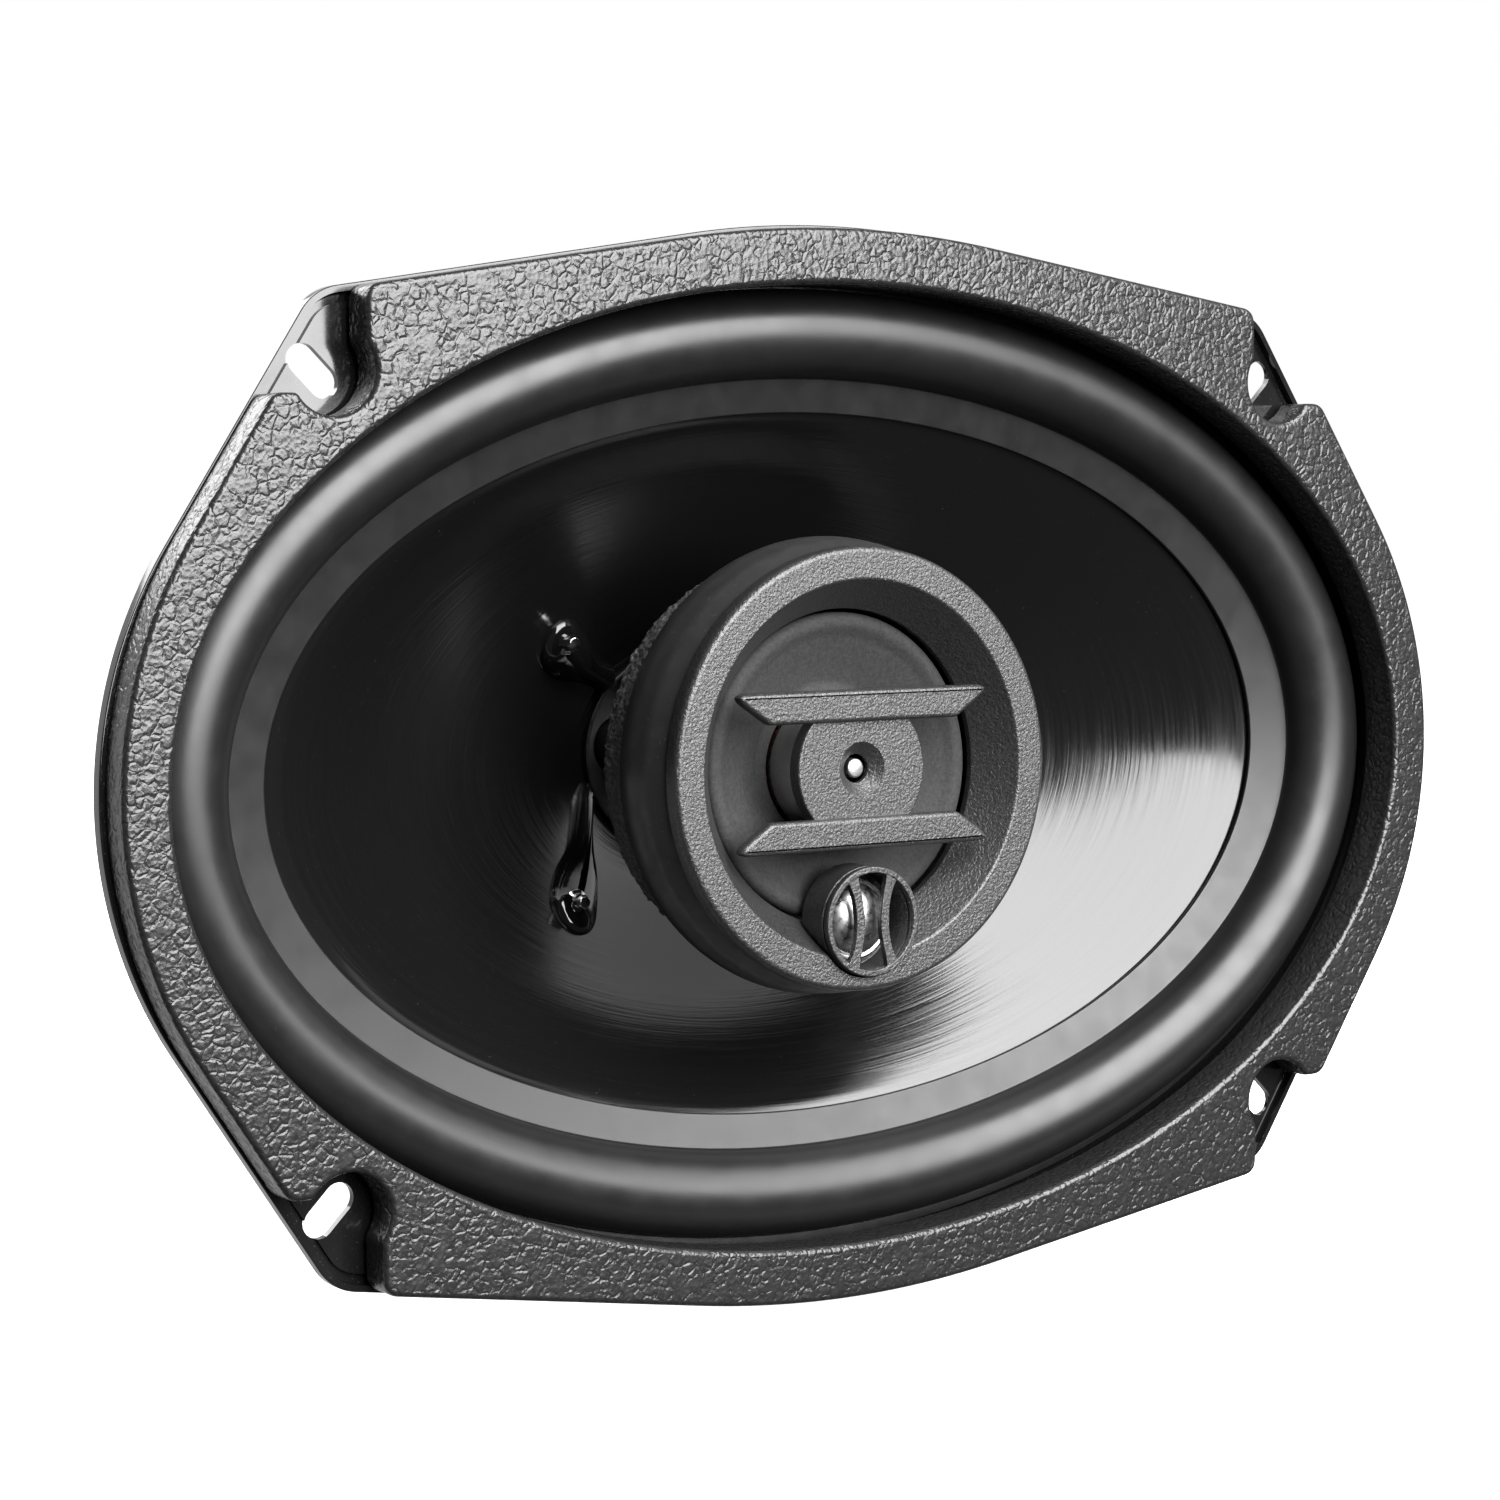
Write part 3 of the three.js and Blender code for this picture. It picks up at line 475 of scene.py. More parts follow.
FINISHES = {
    "black_steel": gloss_steel(),
    "gasket_rubber": grained_gasket(),
    "surround_rubber": surround_rubber(),
    "cone_film": cone_film(),
    "spider_cloth": spider_cloth(),
    # Painted shade: the former's foil is near black, and stands for the shade inside the cone's neck behind
    # the pod.
    "former_foil": bright_metal("former_foil", 0.045, 0.4),
    "copper_winding": wound_copper(),
    "black_adhesive": wet_adhesive(),
    "bright_pin": bright_metal("bright_pin", 0.7, 0.12),
    "zinc_steel": plated_steel(),
    "blacked_steel": blacked_steel(),
    "dome_foil": bright_metal("dome_foil", 0.42, 0.30),
    "ferrite": sintered_ferrite(),
    "boot_rubber": boot_vinyl(),
    "pod_plastic": moulded_plastic("pod_plastic", 0.02, 0.5),
    "sleeve_rubber": soft_sleeve(),
    "open_foam": open_foam(),
    "satin_plastic": sanded_plastic(),
    "chrome": bright_metal("chrome", 0.60, 0.16),
    "felt_paper": felt_paper(),
    "terminal_plastic": moulded_plastic("terminal_plastic", 0.02, 0.4),
    "tinned_brass": bright_metal("tinned_brass", 0.6, 0.26),
    "tinsel_braid": tinsel_braid(),
    "wire_insulation": moulded_plastic("wire_insulation", 0.012, 0.35),
    "capacitor_sleeve": shrink_sleeve(),
}


# ---------------------------------------------------------------- mesh helpers

NEARLY_STRAIGHT = 168                     # degrees between two edges that need no rounding


def rounded(corners, radius=0.3, steps=4, closed=True):
    """Points of a profile or outline whose corners are rounded. A corner is a tuple of coordinates;
    soft_corner gives a corner a radius of its own, and 0 keeps it sharp. A corner on the axis of a
    turned profile stays sharp."""
    spots = [c["at"] if isinstance(c, dict) else c for c in corners]
    radii = [c["radius"] if isinstance(c, dict) else radius for c in corners]
    spots = [np.array(s, float) for s in spots]
    points = []
    for i, (here, reach) in enumerate(zip(spots, radii)):
        open_end = not closed and i in (0, len(spots) - 1)
        on_axis = len(here) == 3 and here[0] <= 0
        before = spots[i - 1] - here
        after = spots[(i + 1) % len(spots)] - here
        lengths = np.linalg.norm(before), np.linalg.norm(after)
        cosine = before @ after / max(lengths[0] * lengths[1], 1e-9)
        bend = math.acos(max(-1.0, min(1.0, cosine)))
        if open_end or on_axis or reach == 0 or bend > math.radians(NEARLY_STRAIGHT):
            points.append(here)
            continue
        cut = min(reach / math.tan(bend / 2), 0.46 * lengths[0], 0.46 * lengths[1])
        first = here + before / lengths[0] * cut
        last = here + after / lengths[1] * cut
        for k in range(steps + 1):
            s = k / steps
            points.append((1 - s) ** 2 * first + 2 * s * (1 - s) * here + s * s * last)
    return np.array(points)


def close_up(work):
    """Merges doubled points and drops the edges and points that no face uses."""
    bmesh.ops.remove_doubles(work, verts=work.verts, dist=1e-7)
    bmesh.ops.dissolve_degenerate(work, edges=work.edges, dist=1e-8)
    bmesh.ops.delete(work, geom=[e for e in work.edges if not e.link_faces], context="EDGES")
    bmesh.ops.delete(work, geom=[v for v in work.verts if not v.link_faces], context="VERTS")


def mesh_object(name, points, faces, triangulate=False):
    """Mesh object from points in millimetres, merged and facing outwards."""
    mesh = bpy.data.meshes.new(name)
    mesh.from_pydata((np.asarray(points, float) * MM).tolist(), [], faces)
    work = bmesh.new()
    work.from_mesh(mesh)
    close_up(work)
    if triangulate:
        bmesh.ops.triangulate(work, faces=[f for f in work.faces if len(f.verts) > 4])
    bmesh.ops.recalc_face_normals(work, faces=work.faces)
    work.to_mesh(mesh)
    work.free()
    thing = bpy.data.objects.new(name, mesh)
    bpy.context.scene.collection.objects.link(thing)
    return thing


def make_piece(name, points, faces, finish, body=BASKET, nodes=(), sharp=32):
    """Finished piece straight from its points, smooth between sharp edges."""
    return dress(mesh_object(name, points, faces), finish, body, nodes, sharp)


def dress(piece, finish, body, nodes=(), sharp=32):
    """Gives a finished mesh its shading and material, hangs it on its body and hides the CAD nodes it
    stands for.
    """
    mesh = piece.data
    mesh.polygons.foreach_set("use_smooth", [True] * len(mesh.polygons))
    mesh.set_sharp_from_angle(angle=math.radians(sharp))
    mesh.materials.clear()
    mesh.materials.append(FINISHES[finish].material)
    even = piece.modifiers.new("even_shading", "WEIGHTED_NORMAL")
    even.keep_sharp = True
    if body:
        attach(piece, body)
    if nodes:
        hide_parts(*nodes)
    return piece


def strip_faces(here, there, count):
    """Quads between two closed loops of points, given by the first point of each."""
    faces = []
    for j in range(count):
        k = (j + 1) % count
        faces.append((here + j, here + k, there + k, there + j))
    return faces


def lathe_faces(sides, count):
    """Quads between neighbouring sections of a closed ring of sections."""
    faces = []
    for i in range(sides):
        faces += strip_faces(i * count, ((i + 1) % sides) * count, count)
    return faces


def tube_faces(rows, sides):
    """Faces of a row of closed loops, with a fan at each end to the two points that follow them."""
    faces = []
    for i in range(rows - 1):
        faces += strip_faces(i * sides, (i + 1) * sides, sides)
    for j in range(sides):
        k = (j + 1) % sides
        faces.append((rows * sides, k, j))
        faces.append((rows * sides + 1, (rows - 1) * sides + j, (rows - 1) * sides + k))
    return faces


def oval_points(profile, sides, x=0.0, z=0.0):
    """Sections of an oval ring; the profile's points are (half length, half height, depth)."""
    angles = 2 * math.pi * np.arange(sides) / sides
    a, b, y = profile.T
    grid = np.stack([
        x + np.outer(np.cos(angles), a),
        np.broadcast_to(y, (sides, len(y))),
        z + np.outer(np.sin(angles), b),
    ], axis=-1)
    return grid.reshape(-1, 3)


def as_oval(corner):
    if isinstance(corner, dict):
        return {**corner, "at": as_oval(corner["at"])}
    r, y = corner
    return (r, r, y)


def turned(name, corners, finish, body=BASKET, nodes=(), sides=96, radius=0.3, x=0.0, z=0.0, sharp=32):
    """Piece turned about an axis parallel to Y, from a closed profile of (radius, depth) corners."""
    profile = rounded([as_oval(c) for c in corners], radius)
    points = oval_points(profile, sides, x, z)
    return make_piece(name, points, lathe_faces(sides, len(profile)), finish, body, nodes, sharp)


def soft_corner(at, radius):
    return {"at": at, "radius": radius}


def ring_section(inner, outer, front, rear):
    """Profile of a plain ring or disc."""
    return [(inner, front), (outer, front), (outer, rear), (inner, rear)]


def offset_outline(outline, distance):
    """Closed counter-clockwise outline moved inwards by a distance, with mitred corners."""
    outline = np.asarray(outline, float)
    edge = np.roll(outline, -1, axis=0) - outline
    edge /= np.maximum(np.linalg.norm(edge, axis=1, keepdims=True), 1e-9)
    normal = np.stack([-edge[:, 1], edge[:, 0]], axis=1)
    previous = np.roll(normal, 1, axis=0)
    together = normal + previous
    scale = np.maximum(1 + (normal * previous).sum(axis=1, keepdims=True), 0.25)
    return outline + together / scale * distance


def slab_points(outline, front, rear, edge=0.3, steps=3):
    """Layers of a plate whose outline lies in the XZ plane, with both rims rounded."""
    layers = []
    for k in range(steps + 1):
        turn = math.pi / 2 * k / steps
        layers.append((edge * (1 - math.sin(turn)), front + edge * (1 - math.cos(turn))))
    layers += [(inset, front + rear - y) for inset, y in reversed(layers)]
    rows = []
    for inset, y in layers:
        shape = offset_outline(outline, inset) if inset > 0 else np.asarray(outline, float)
        rows.append(np.stack([shape[:, 0], np.full(len(shape), y), shape[:, 1]], axis=1))
    return rows


def slab_mesh(outline, front, rear, edge=0.3, steps=3):
    rows = slab_points(outline, front, rear, edge, steps)
    count = len(rows[0])
    faces = [tuple(range(count)), tuple(range((len(rows) - 1) * count, len(rows) * count))[::-1]]
    for i in range(len(rows) - 1):
        faces += strip_faces(i * count, (i + 1) * count, count)
    return np.concatenate(rows), faces


def raw_object(points, faces):
    """A bare closed mesh for cutting and joining."""
    return mesh_object("raw", points, faces, triangulate=True)


def raw_slab(outline, front, rear, edge=0.0):
    return raw_object(*slab_mesh(outline, front, rear, edge, 3 if edge else 1))


def raw_turned(corners, sides=96, radius=0.3, x=0.0, z=0.0):
    profile = rounded([as_oval(c) for c in corners], radius)
    return raw_object(oval_points(profile, sides, x, z), lathe_faces(sides, len(profile)))


def combine(target, others, operation):
    """Joins to target, or cuts from it, each of the other solids, which are used up."""
    for other in others:
        modifier = target.modifiers.new("combine", "BOOLEAN")
        modifier.operation = operation
        modifier.solver = "MANIFOLD"
        modifier.object = other
        graph = bpy.context.evaluated_depsgraph_get()
        mesh = bpy.data.meshes.new_from_object(target.evaluated_get(graph))
        target.modifiers.clear()
        target.data = mesh
        bpy.data.objects.remove(other)
    return target


def finished(raw, name, finish, body=BASKET, nodes=(), sharp=32):
    work = bmesh.new()
    work.from_mesh(raw.data)
    bmesh.ops.dissolve_limit(
        work, angle_limit=math.radians(0.2), verts=work.verts, edges=work.edges, delimit={"NORMAL"},
    )
    work.to_mesh(raw.data)
    work.free()
    raw.name = name
    raw.data.name = name
    return dress(raw, finish, body, nodes, sharp)


def circle(radius, count=48, x=0.0, z=0.0):
    angles = 2 * math.pi * np.arange(count) / count
    return np.stack([x + radius * np.cos(angles), z + radius * np.sin(angles)], axis=1)


def smooth_path(points, per_span=10):
    """Smooth curve through the given points."""
    p = np.array(points, float)
    p = np.vstack([2 * p[0] - p[1], p, 2 * p[-1] - p[-2]])
    curve = []
    for i in range(1, len(p) - 2):
        for k in range(per_span):
            t = k / per_span
            curve.append(0.5 * (
                2 * p[i] + (p[i + 1] - p[i - 1]) * t
                + (2 * p[i - 1] - 5 * p[i] + 4 * p[i + 1] - p[i + 2]) * t * t
                + (3 * p[i] - p[i - 1] - 3 * p[i + 1] + p[i + 2]) * t ** 3
            ))
    curve.append(p[-2])
    return np.array(curve)


def path_frames(path, first=(0, 0, 1)):
    """Tangent and two cross directions at each point of a path, turned as little as possible."""
    tangent = np.gradient(path, axis=0)
    tangent /= np.linalg.norm(tangent, axis=1, keepdims=True)
    side = np.array(first, float)
    sides = []
    for t in tangent:
        side = side - (side @ t) * t
        side /= np.linalg.norm(side)
        sides.append(side.copy())
    sides = np.array(sides)
    return tangent, sides, np.cross(tangent, sides)


def tube_mesh(path, radii, sides=10):
    """Round tube along a path, closed by a small dome at each end."""
    tangent, u, v = path_frames(path)
    radii = np.broadcast_to(radii, len(path))
    angles = 2 * math.pi * np.arange(sides) / sides
    rings = []
    for i, centre in enumerate(path):
        ring = np.outer(np.cos(angles), u[i]) + np.outer(np.sin(angles), v[i])
        rings.append(centre + radii[i] * ring)
    start = path[0] - tangent[0] * radii[0] * 0.4
    finish = path[-1] + tangent[-1] * radii[-1] * 0.4
    return np.vstack([*rings, start, finish]), tube_faces(len(path), sides)


def joined(meshes):
    """One list of points and faces from several."""
    points, faces, start = [], [], 0
    for some_points, some_faces in meshes:
        points.append(some_points)
        faces += [tuple(i + start for i in face) for face in some_faces]
        start += len(some_points)
    return np.vstack(points), faces


def twisted_strands(path, count, offset, radius, pitch):
    """Several strands wound round a path, one turn in each pitch."""
    _, u, v = path_frames(path)
    run = np.concatenate([[0], np.cumsum(np.linalg.norm(np.diff(path, axis=0), axis=1))])
    strands = []
    for i in range(count):
        angle = 2 * math.pi * (run / pitch + i / count)
        centre = path + offset * (np.cos(angle)[:, None] * u + np.sin(angle)[:, None] * v)
        strands.append(tube_mesh(centre, radius, 6))
    return joined(strands)


# ---------------------------------------------------------------- sizes shared by the pieces

basket = Span("basket_frame")
gasket_size = Span("gasket")
boot_size = Span("magnet_boot")

SHEET = 1.2
# Half length, half height, distances of the two straight edges from the centre, and ear radius.
FLANGE = (basket.half_length, basket.half_height, 109.2, 82.35, 8.0)
GASKET = (gasket_size.half_length, gasket_size.half_height, 108.8, 81.9, 7.0)
SIDE_ANGLE, TOP_ANGLE = 33.0, 81.0
SLOT_CENTRE = (84.7, 58.64)
SLOT_LENGTH, SLOT_WIDTH, SLOT_ANGLE = 9.0, 4.6, 45.0
FLANGE_HOLE = (113.0, 75.5)
GASKET_HOLE = (109.84, 72.39)
BITE_CORNER = (79.6, 55.4)
BITE_RADIUS = 6.4

CONE_RIM = (90.0, 53.6, 6.7)
CONE_EDGE = ((95.8, 57.8, 6.0), (95.8, 57.8, 5.4))
CONE_NECK = (16.0, 45.6)
CONE_CURVE, CONE_THICKNESS = 1.1, 0.8
QUARTERS = ((1, 1), (-1, 1), (-1, -1), (1, -1))


def cone_ring(fraction):
    """Oval of the cone's front surface at a fraction of the way from its rim to its neck."""
    a, b, y = CONE_RIM
    radius, depth = CONE_NECK
    return (
        a + (radius - a) * fraction,
        b + (radius - b) * fraction,
        y + (depth - y) * fraction ** CONE_CURVE,
    )


def cone_depth(x, z):
    """Depth of the cone's front surface at a place in the XZ plane."""
    low, high = 0.0, 1.0
    for _ in range(40):
        middle = (low + high) / 2
        a, b, _ = cone_ring(middle)
        if (x / a) ** 2 + (z / b) ** 2 < 1:
            low = middle
        else:
            high = middle
    return cone_ring(low)[2]


def eared_outline(sizes, steps=(24, 12, 16)):
    """Outline with four ears: end arc, ear and top arc of one quarter, mirrored to the others."""
    half_length, half_height, side_distance, top_distance, ear_radius = sizes
    side, top = math.radians(SIDE_ANGLE), math.radians(TOP_ANGLE)
    end_radius = (side_distance - half_length * math.cos(side)) / (1 - math.cos(side))
    top_radius = (top_distance - half_height * math.sin(top)) / (1 - math.sin(top))
    p, q = side_distance - ear_radius, top_distance - ear_radius
    determinant = math.cos(side) * math.sin(top) - math.sin(side) * math.cos(top)
    ear_x = (p * math.sin(top) - math.sin(side) * q) / determinant
    ear_z = (math.cos(side) * q - math.cos(top) * p) / determinant
    arcs = (
        (half_length - end_radius, 0.0, end_radius, 0.0, SIDE_ANGLE, steps[0]),
        (ear_x, ear_z, ear_radius, SIDE_ANGLE, TOP_ANGLE, steps[1]),
        (0.0, half_height - top_radius, top_radius, TOP_ANGLE, 90.0, steps[2]),
    )
    quarter = []
    for x, z, radius, start, stop, count in arcs:
        for angle in np.radians(np.linspace(start, stop, count + 1)):
            quarter.append((x + radius * math.cos(angle), z + radius * math.sin(angle)))
    back = [(-x, z) for x, z in reversed(quarter[:-1])]
    half = quarter + back
    lower = [(x, -z) for x, z in reversed(half[1:-1])]
    return np.array(half + lower)


# ---------------------------------------------------------------- basket

WINDOWS = ((10, 48), (62, 118), (132, 170), (190, 228), (242, 298), (312, 350))
WINDOW_DEPTHS = (13.0, 41.0)
RIVET_CIRCLE, RIVET_HOLE, SEAT_DEPTH, SHELF_DEPTH = 33.0, 2.3, 58.8, 48.2
LIP_WIDTH, GROOVE_WIDTH, GROOVE_DEPTH = 1.0, 1.5, 0.55


def slot_outline(x_sign, z_sign):
    x, z = SLOT_CENTRE[0] * x_sign, SLOT_CENTRE[1] * z_sign
    lean = math.radians(SLOT_ANGLE)
    heading = math.atan2(z_sign * math.sin(lean), x_sign * math.cos(lean))
    straight, radius = (SLOT_LENGTH - SLOT_WIDTH) / 2, SLOT_WIDTH / 2
    points = []
    for end, turn in ((1, -90), (-1, 90)):
        for i in range(13):
            angle = heading + math.radians(turn + 15 * i)
            points.append((
                x + end * straight * math.cos(heading) + radius * math.cos(angle),
                z + end * straight * math.sin(heading) + radius * math.sin(angle),
            ))
    return points


def window_cutter(start, stop):
    """Block with rounded corners that opens the basket wall between two spokes."""
    reference, near, far, corner = 80.0, 30.0, 150.0, 5.0
    left, right = (math.radians(v) * reference for v in (start, stop))
    front, rear = WINDOW_DEPTHS
    outline = rounded([(left, front), (right, front), (right, rear), (left, rear)], corner, 6)
    middle = outline.mean(axis=0)
    points = []
    for radius in (near, far):
        for arc, y in [*outline, middle]:
            angle = arc / reference
            points.append((radius * math.cos(angle), y, radius * math.sin(angle)))
    count = len(outline)
    faces = []
    for j in range(count):
        k = (j + 1) % count
        faces.append((j, k, count + 1 + k, count + 1 + j))
        faces.append((count, k, j))
        faces.append((2 * count + 1, count + 1 + j, count + 1 + k))
    return raw_object(points, faces)


def rivet_places():
    angles = [math.radians(45 + 90 * i) for i in range(4)]
    return [(RIVET_CIRCLE * math.cos(a), RIVET_CIRCLE * math.sin(a)) for a in angles]


def make_basket():
    front = -SHEET
    wall = [
        (112.4, 74.9, front), (112.4, 74.9, 4.6), (108.8, 71.3, 4.6), (106.4, 69.2, 12),
        (98.0, 63.8, 24), (76, 57, 37), (54, 54, 46.6), (52.5, 52.5, SHELF_DEPTH),
        (47.5, 47.5, SHELF_DEPTH), (45, 45, SEAT_DEPTH), (24, 24, SEAT_DEPTH),
        (24, 24, SEAT_DEPTH + SHEET), (46, 46, SEAT_DEPTH + SHEET),
        (48.6, 48.6, SHELF_DEPTH + SHEET), (53.2, 53.2, SHELF_DEPTH + SHEET),
        (55.2, 55.2, 47.7), (77, 58.2, 38.2), (99.2, 65, 24.6), (107.6, 70.4, 12.3),
        (109.8, 72.3, 5.8), (113.6, 76.1, 5.8), (113.6, 76.1, front),
    ]
    profile = rounded(wall, 1.6, 4)
    sides = 180
    body = raw_object(oval_points(profile, sides), lathe_faces(sides, len(profile)))
    outline = eared_outline(FLANGE)
    inside_lip = offset_outline(outline, LIP_WIDTH)
    flange = raw_slab(outline, basket.front, 0, 0.28)
    pocket = raw_slab(inside_lip, basket.front - 1, front)
    hole = raw_slab(circle(1, sides) * np.array(FLANGE_HOLE), -5, 5)
    groove = raw_slab(inside_lip, basket.front - 1, front + GROOVE_DEPTH, 0.45)
    inside_groove = offset_outline(outline, LIP_WIDTH + GROOVE_WIDTH)
    combine(groove, [raw_slab(inside_groove, basket.front - 2, 0)], "DIFFERENCE")
    combine(flange, [pocket, hole, groove], "DIFFERENCE")
    combine(body, [flange], "UNION")
    cutters = [window_cutter(*window) for window in WINDOWS]
    cutters += [raw_slab(slot_outline(*signs), -5, 5) for signs in QUARTERS]
    for x, z in rivet_places():
        cutters.append(raw_slab(circle(RIVET_HOLE, 24, x, z), SEAT_DEPTH - 1, SEAT_DEPTH + 2))
    combine(body, cutters, "DIFFERENCE")
    finished(body, "basket_shell", "black_steel", BASKET, ["basket_frame"], 28)


def bite_outline():
    """Gasket outline, with each ear cut away round its slot."""
    edge = eared_outline(GASKET)
    corner_x, corner_z = BITE_CORNER
    centre_x, centre_z = SLOT_CENTRE
    kept = [p for p in edge if p[0] > 0 and p[1] > 0]
    side = [tuple(p) for p in kept if p[1] < corner_z - 3]
    top = [tuple(p) for p in kept if p[0] < corner_x - 3]
    side_turn, top_turn = math.radians(SIDE_ANGLE), math.radians(TOP_ANGLE)
    side_x = (GASKET[2] - corner_z * math.sin(side_turn)) / math.cos(side_turn)
    top_z = (GASKET[3] - corner_x * math.cos(top_turn)) / math.sin(top_turn)
    first = math.atan2(corner_z - centre_z, math.sqrt(BITE_RADIUS ** 2 - (corner_z - centre_z) ** 2))
    last = math.atan2(math.sqrt(BITE_RADIUS ** 2 - (corner_x - centre_x) ** 2), corner_x - centre_x)
    sweep = np.linspace(first, last - 2 * math.pi, 40)
    arc = [(centre_x + BITE_RADIUS * math.cos(a), centre_z + BITE_RADIUS * math.sin(a)) for a in sweep]
    corners = [soft_corner(p, 0) for p in side]
    corners += [soft_corner((side_x, corner_z), 2.6), soft_corner(arc[0], 1.8)]
    corners += [soft_corner(p, 0) for p in arc[2:-2]]
    corners += [soft_corner(arc[-1], 1.8), soft_corner((corner_x, top_z), 2.6)]
    corners += [soft_corner(p, 0) for p in top]
    quarter = rounded(corners, 0, 8, closed=False)
    half = np.vstack([quarter, [[0, quarter[-1][1]]], quarter[::-1] * (-1, 1)])
    return np.vstack([half, half[::-1] * (1, -1)])


def evenly_spaced(outline, count):
    """Closed outline as that many points, the same distance apart along it."""
    loop = np.vstack([outline, outline[:1]])
    step = np.linalg.norm(np.diff(loop, axis=0), axis=1)
    run = np.concatenate([[0], np.cumsum(step)])
    wanted = np.linspace(0, run[-1], count, endpoint=False)
    return np.stack([np.interp(wanted, run, loop[:, 0]), np.interp(wanted, run, loop[:, 1])], axis=1)


def make_gasket():
    """Thick moulded ring: a rounded outer wall, a rounded inner wall, and flat faces between them."""
    edge, steps = 0.9, 5
    outer = evenly_spaced(bite_outline(), 1300)
    inner = circle(1, 240) * np.array(GASKET_HOLE)
    front, rear = gasket_size.front, gasket_size.rear
    over_lip = basket.front - 0.3
    turns = [math.pi / 2 * k / steps for k in range(steps + 1)]
    rims = [(edge * (1 - math.cos(t)), front + edge * (1 - math.sin(t))) for t in turns]
    tucked = offset_outline(outer, LIP_WIDTH)
    outer_rows = [(tucked, rear), (tucked, over_lip), (outer, over_lip)]
    outer_rows += [(offset_outline(outer, inset), depth) for inset, depth in rims]
    inner_rows = [(inner, rear)] + [(offset_outline(inner, -inset), depth) for inset, depth in rims]
    points, faces, loops, start = [], [], [], 0
    for rows in (outer_rows, inner_rows):
        count = len(rows[0][0])
        for shape, depth in rows:
            points += [(x, depth, z) for x, z in shape]
        for i in range(len(rows) - 1):
            faces += strip_faces(start + i * count, start + (i + 1) * count, count)
        loops.append((start, start + (len(rows) - 1) * count, count))
        start += len(rows) * count
    for which in (0, 1):
        indices = [list(range(loop[which], loop[which] + loop[2])) for loop in loops]
        flat = [[Vector((points[i][0], points[i][2], 0)) for i in loop] for loop in indices]
        order = [i for loop in indices for i in loop]
        faces += [tuple(order[i] for i in corner) for corner in tessellate_polygon(flat)]
    make_piece("gasket_ring", points, faces, "gasket_rubber", BASKET, ["gasket"], 40)


# ---------------------------------------------------------------- woofer

ROLL_CENTRE, ROLL_RADIUS, ROLL_HEIGHT, ROLL_FOOT = (103.6, 65.6), 6.6, 6.2, 4.4
SURROUND_INNER = (90.14, 53.68, 5.5)
SURROUND_FOOT = (96.8, 58.8, 4.1)
SURROUND_OUTER = (111.9, 74.0)
SURROUND_THICKNESS = 0.8


def blend_radially(piece, inner, outer):
    """Bakes a ring's transform and measures how far each point lies beyond its inner oval and short of its
    outer one; the measures are not used, so the ring does not bend.
    """
    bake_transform(piece)
    place = np.array([v.co for v in piece.data.vertices]) / MM
    beyond = np.hypot(place[:, 0] / inner[0], place[:, 2] / inner[1]) - 1
    short = 1 - np.hypot(place[:, 0] / outer[0], place[:, 2] / outer[1])
    beyond, short = np.maximum(beyond, 0), np.maximum(short, 0)


def make_surround():
    centre_a, centre_b = ROLL_CENTRE
    thin = ROLL_RADIUS - SURROUND_THICKNESS
    front = [SURROUND_INNER, SURROUND_FOOT]
    rear = []
    steps = 22
    for i in range(steps + 1):
        angle = math.pi * (1 - i / steps)
        c, s = math.cos(angle), math.sin(angle)
        front.append((
            centre_a + ROLL_RADIUS * c, centre_b + ROLL_RADIUS * c, ROLL_FOOT - ROLL_HEIGHT * s - 0.8,
        ))
        rear.append((
            centre_a + thin * c, centre_b + thin * c,
            ROLL_FOOT - (ROLL_HEIGHT - SURROUND_THICKNESS) * s - 0.1,
        ))
    front += [(*SURROUND_OUTER, 3.5), (*SURROUND_OUTER, 4.3)]
    rear.reverse()
    for a, b, y in (SURROUND_FOOT, SURROUND_INNER):
        rear.append((a, b, y + SURROUND_THICKNESS))
    profile = rounded(front + rear, 0.35, 3)
    sides = 240
    surround = make_piece(
        "surround_roll", oval_points(profile, sides), lathe_faces(sides, len(profile)),
        "surround_rubber", None, ["surround"], 50,
    )
    blend_radially(surround, SURROUND_FOOT, SURROUND_OUTER)


def make_cone():
    front = [cone_ring(t) for t in np.linspace(0, 1, 34)]
    rear = [(a + 0.25, b + 0.25, y + CONE_THICKNESS) for a, b, y in reversed(front)]
    profile = rounded([*CONE_EDGE, *front, *rear], 0.2, 2)
    sides = 240
    make_piece(
        "cone_shell", oval_points(profile, sides), lathe_faces(sides, len(profile)),
        "cone_film", CONE_BODY, ["woofer_cone"], 40,
    )


def make_spider():
    """Corrugated cloth disc from the neck of the cone to the shelf of the basket."""
    inner, outer, rolls, middle, amplitude, half = CONE_NECK[0], 46.0, 5, 47.5, 1.2, 0.25
    line = []
    for s in np.linspace(0, 1, 61):
        lift = amplitude * math.sin(2 * math.pi * rolls * s) * min(1, 6 * s) * min(1, 6 * (1 - s))
        line.append((inner + (outer - inner) * s, middle - lift))
    line.append((51.8, middle))
    loop = [(r, y - half) for r, y in line] + [(r, y + half) for r, y in reversed(line)]
    spider = turned("spider_disc", loop, "spider_cloth", None, ["spider"], 144, 0.0, sharp=60)
    blend_radially(spider, (16.8, 16.8), (46.0, 46.0))


def make_voice_coil():
    former, winding = Span("voice_coil_former"), Span("voice_coil_winding")
    bore = former.half_length - 0.5
    section = ring_section(bore, former.half_length, former.front, former.rear)
    turned("former_tube", section, "former_foil", CONE_BODY, ["voice_coil_former"], 128, 0.1)
    turns, inner = 28, former.half_length + 0.15
    pitch = (winding.rear - winding.front) / turns
    wire = [(inner, winding.front)]
    for i in range(turns):
        for part, reach in ((0.15, 0.75), (0.5, 1.0), (0.85, 0.75)):
            depth = winding.front + pitch * (i + part)
            wire.append((inner + (winding.half_length - inner) * reach, depth))
    wire.append((inner, winding.rear))
    turned("coil_turns", wire, "copper_winding", CONE_BODY, ["voice_coil_winding"], 96, 0.0, sharp=60)


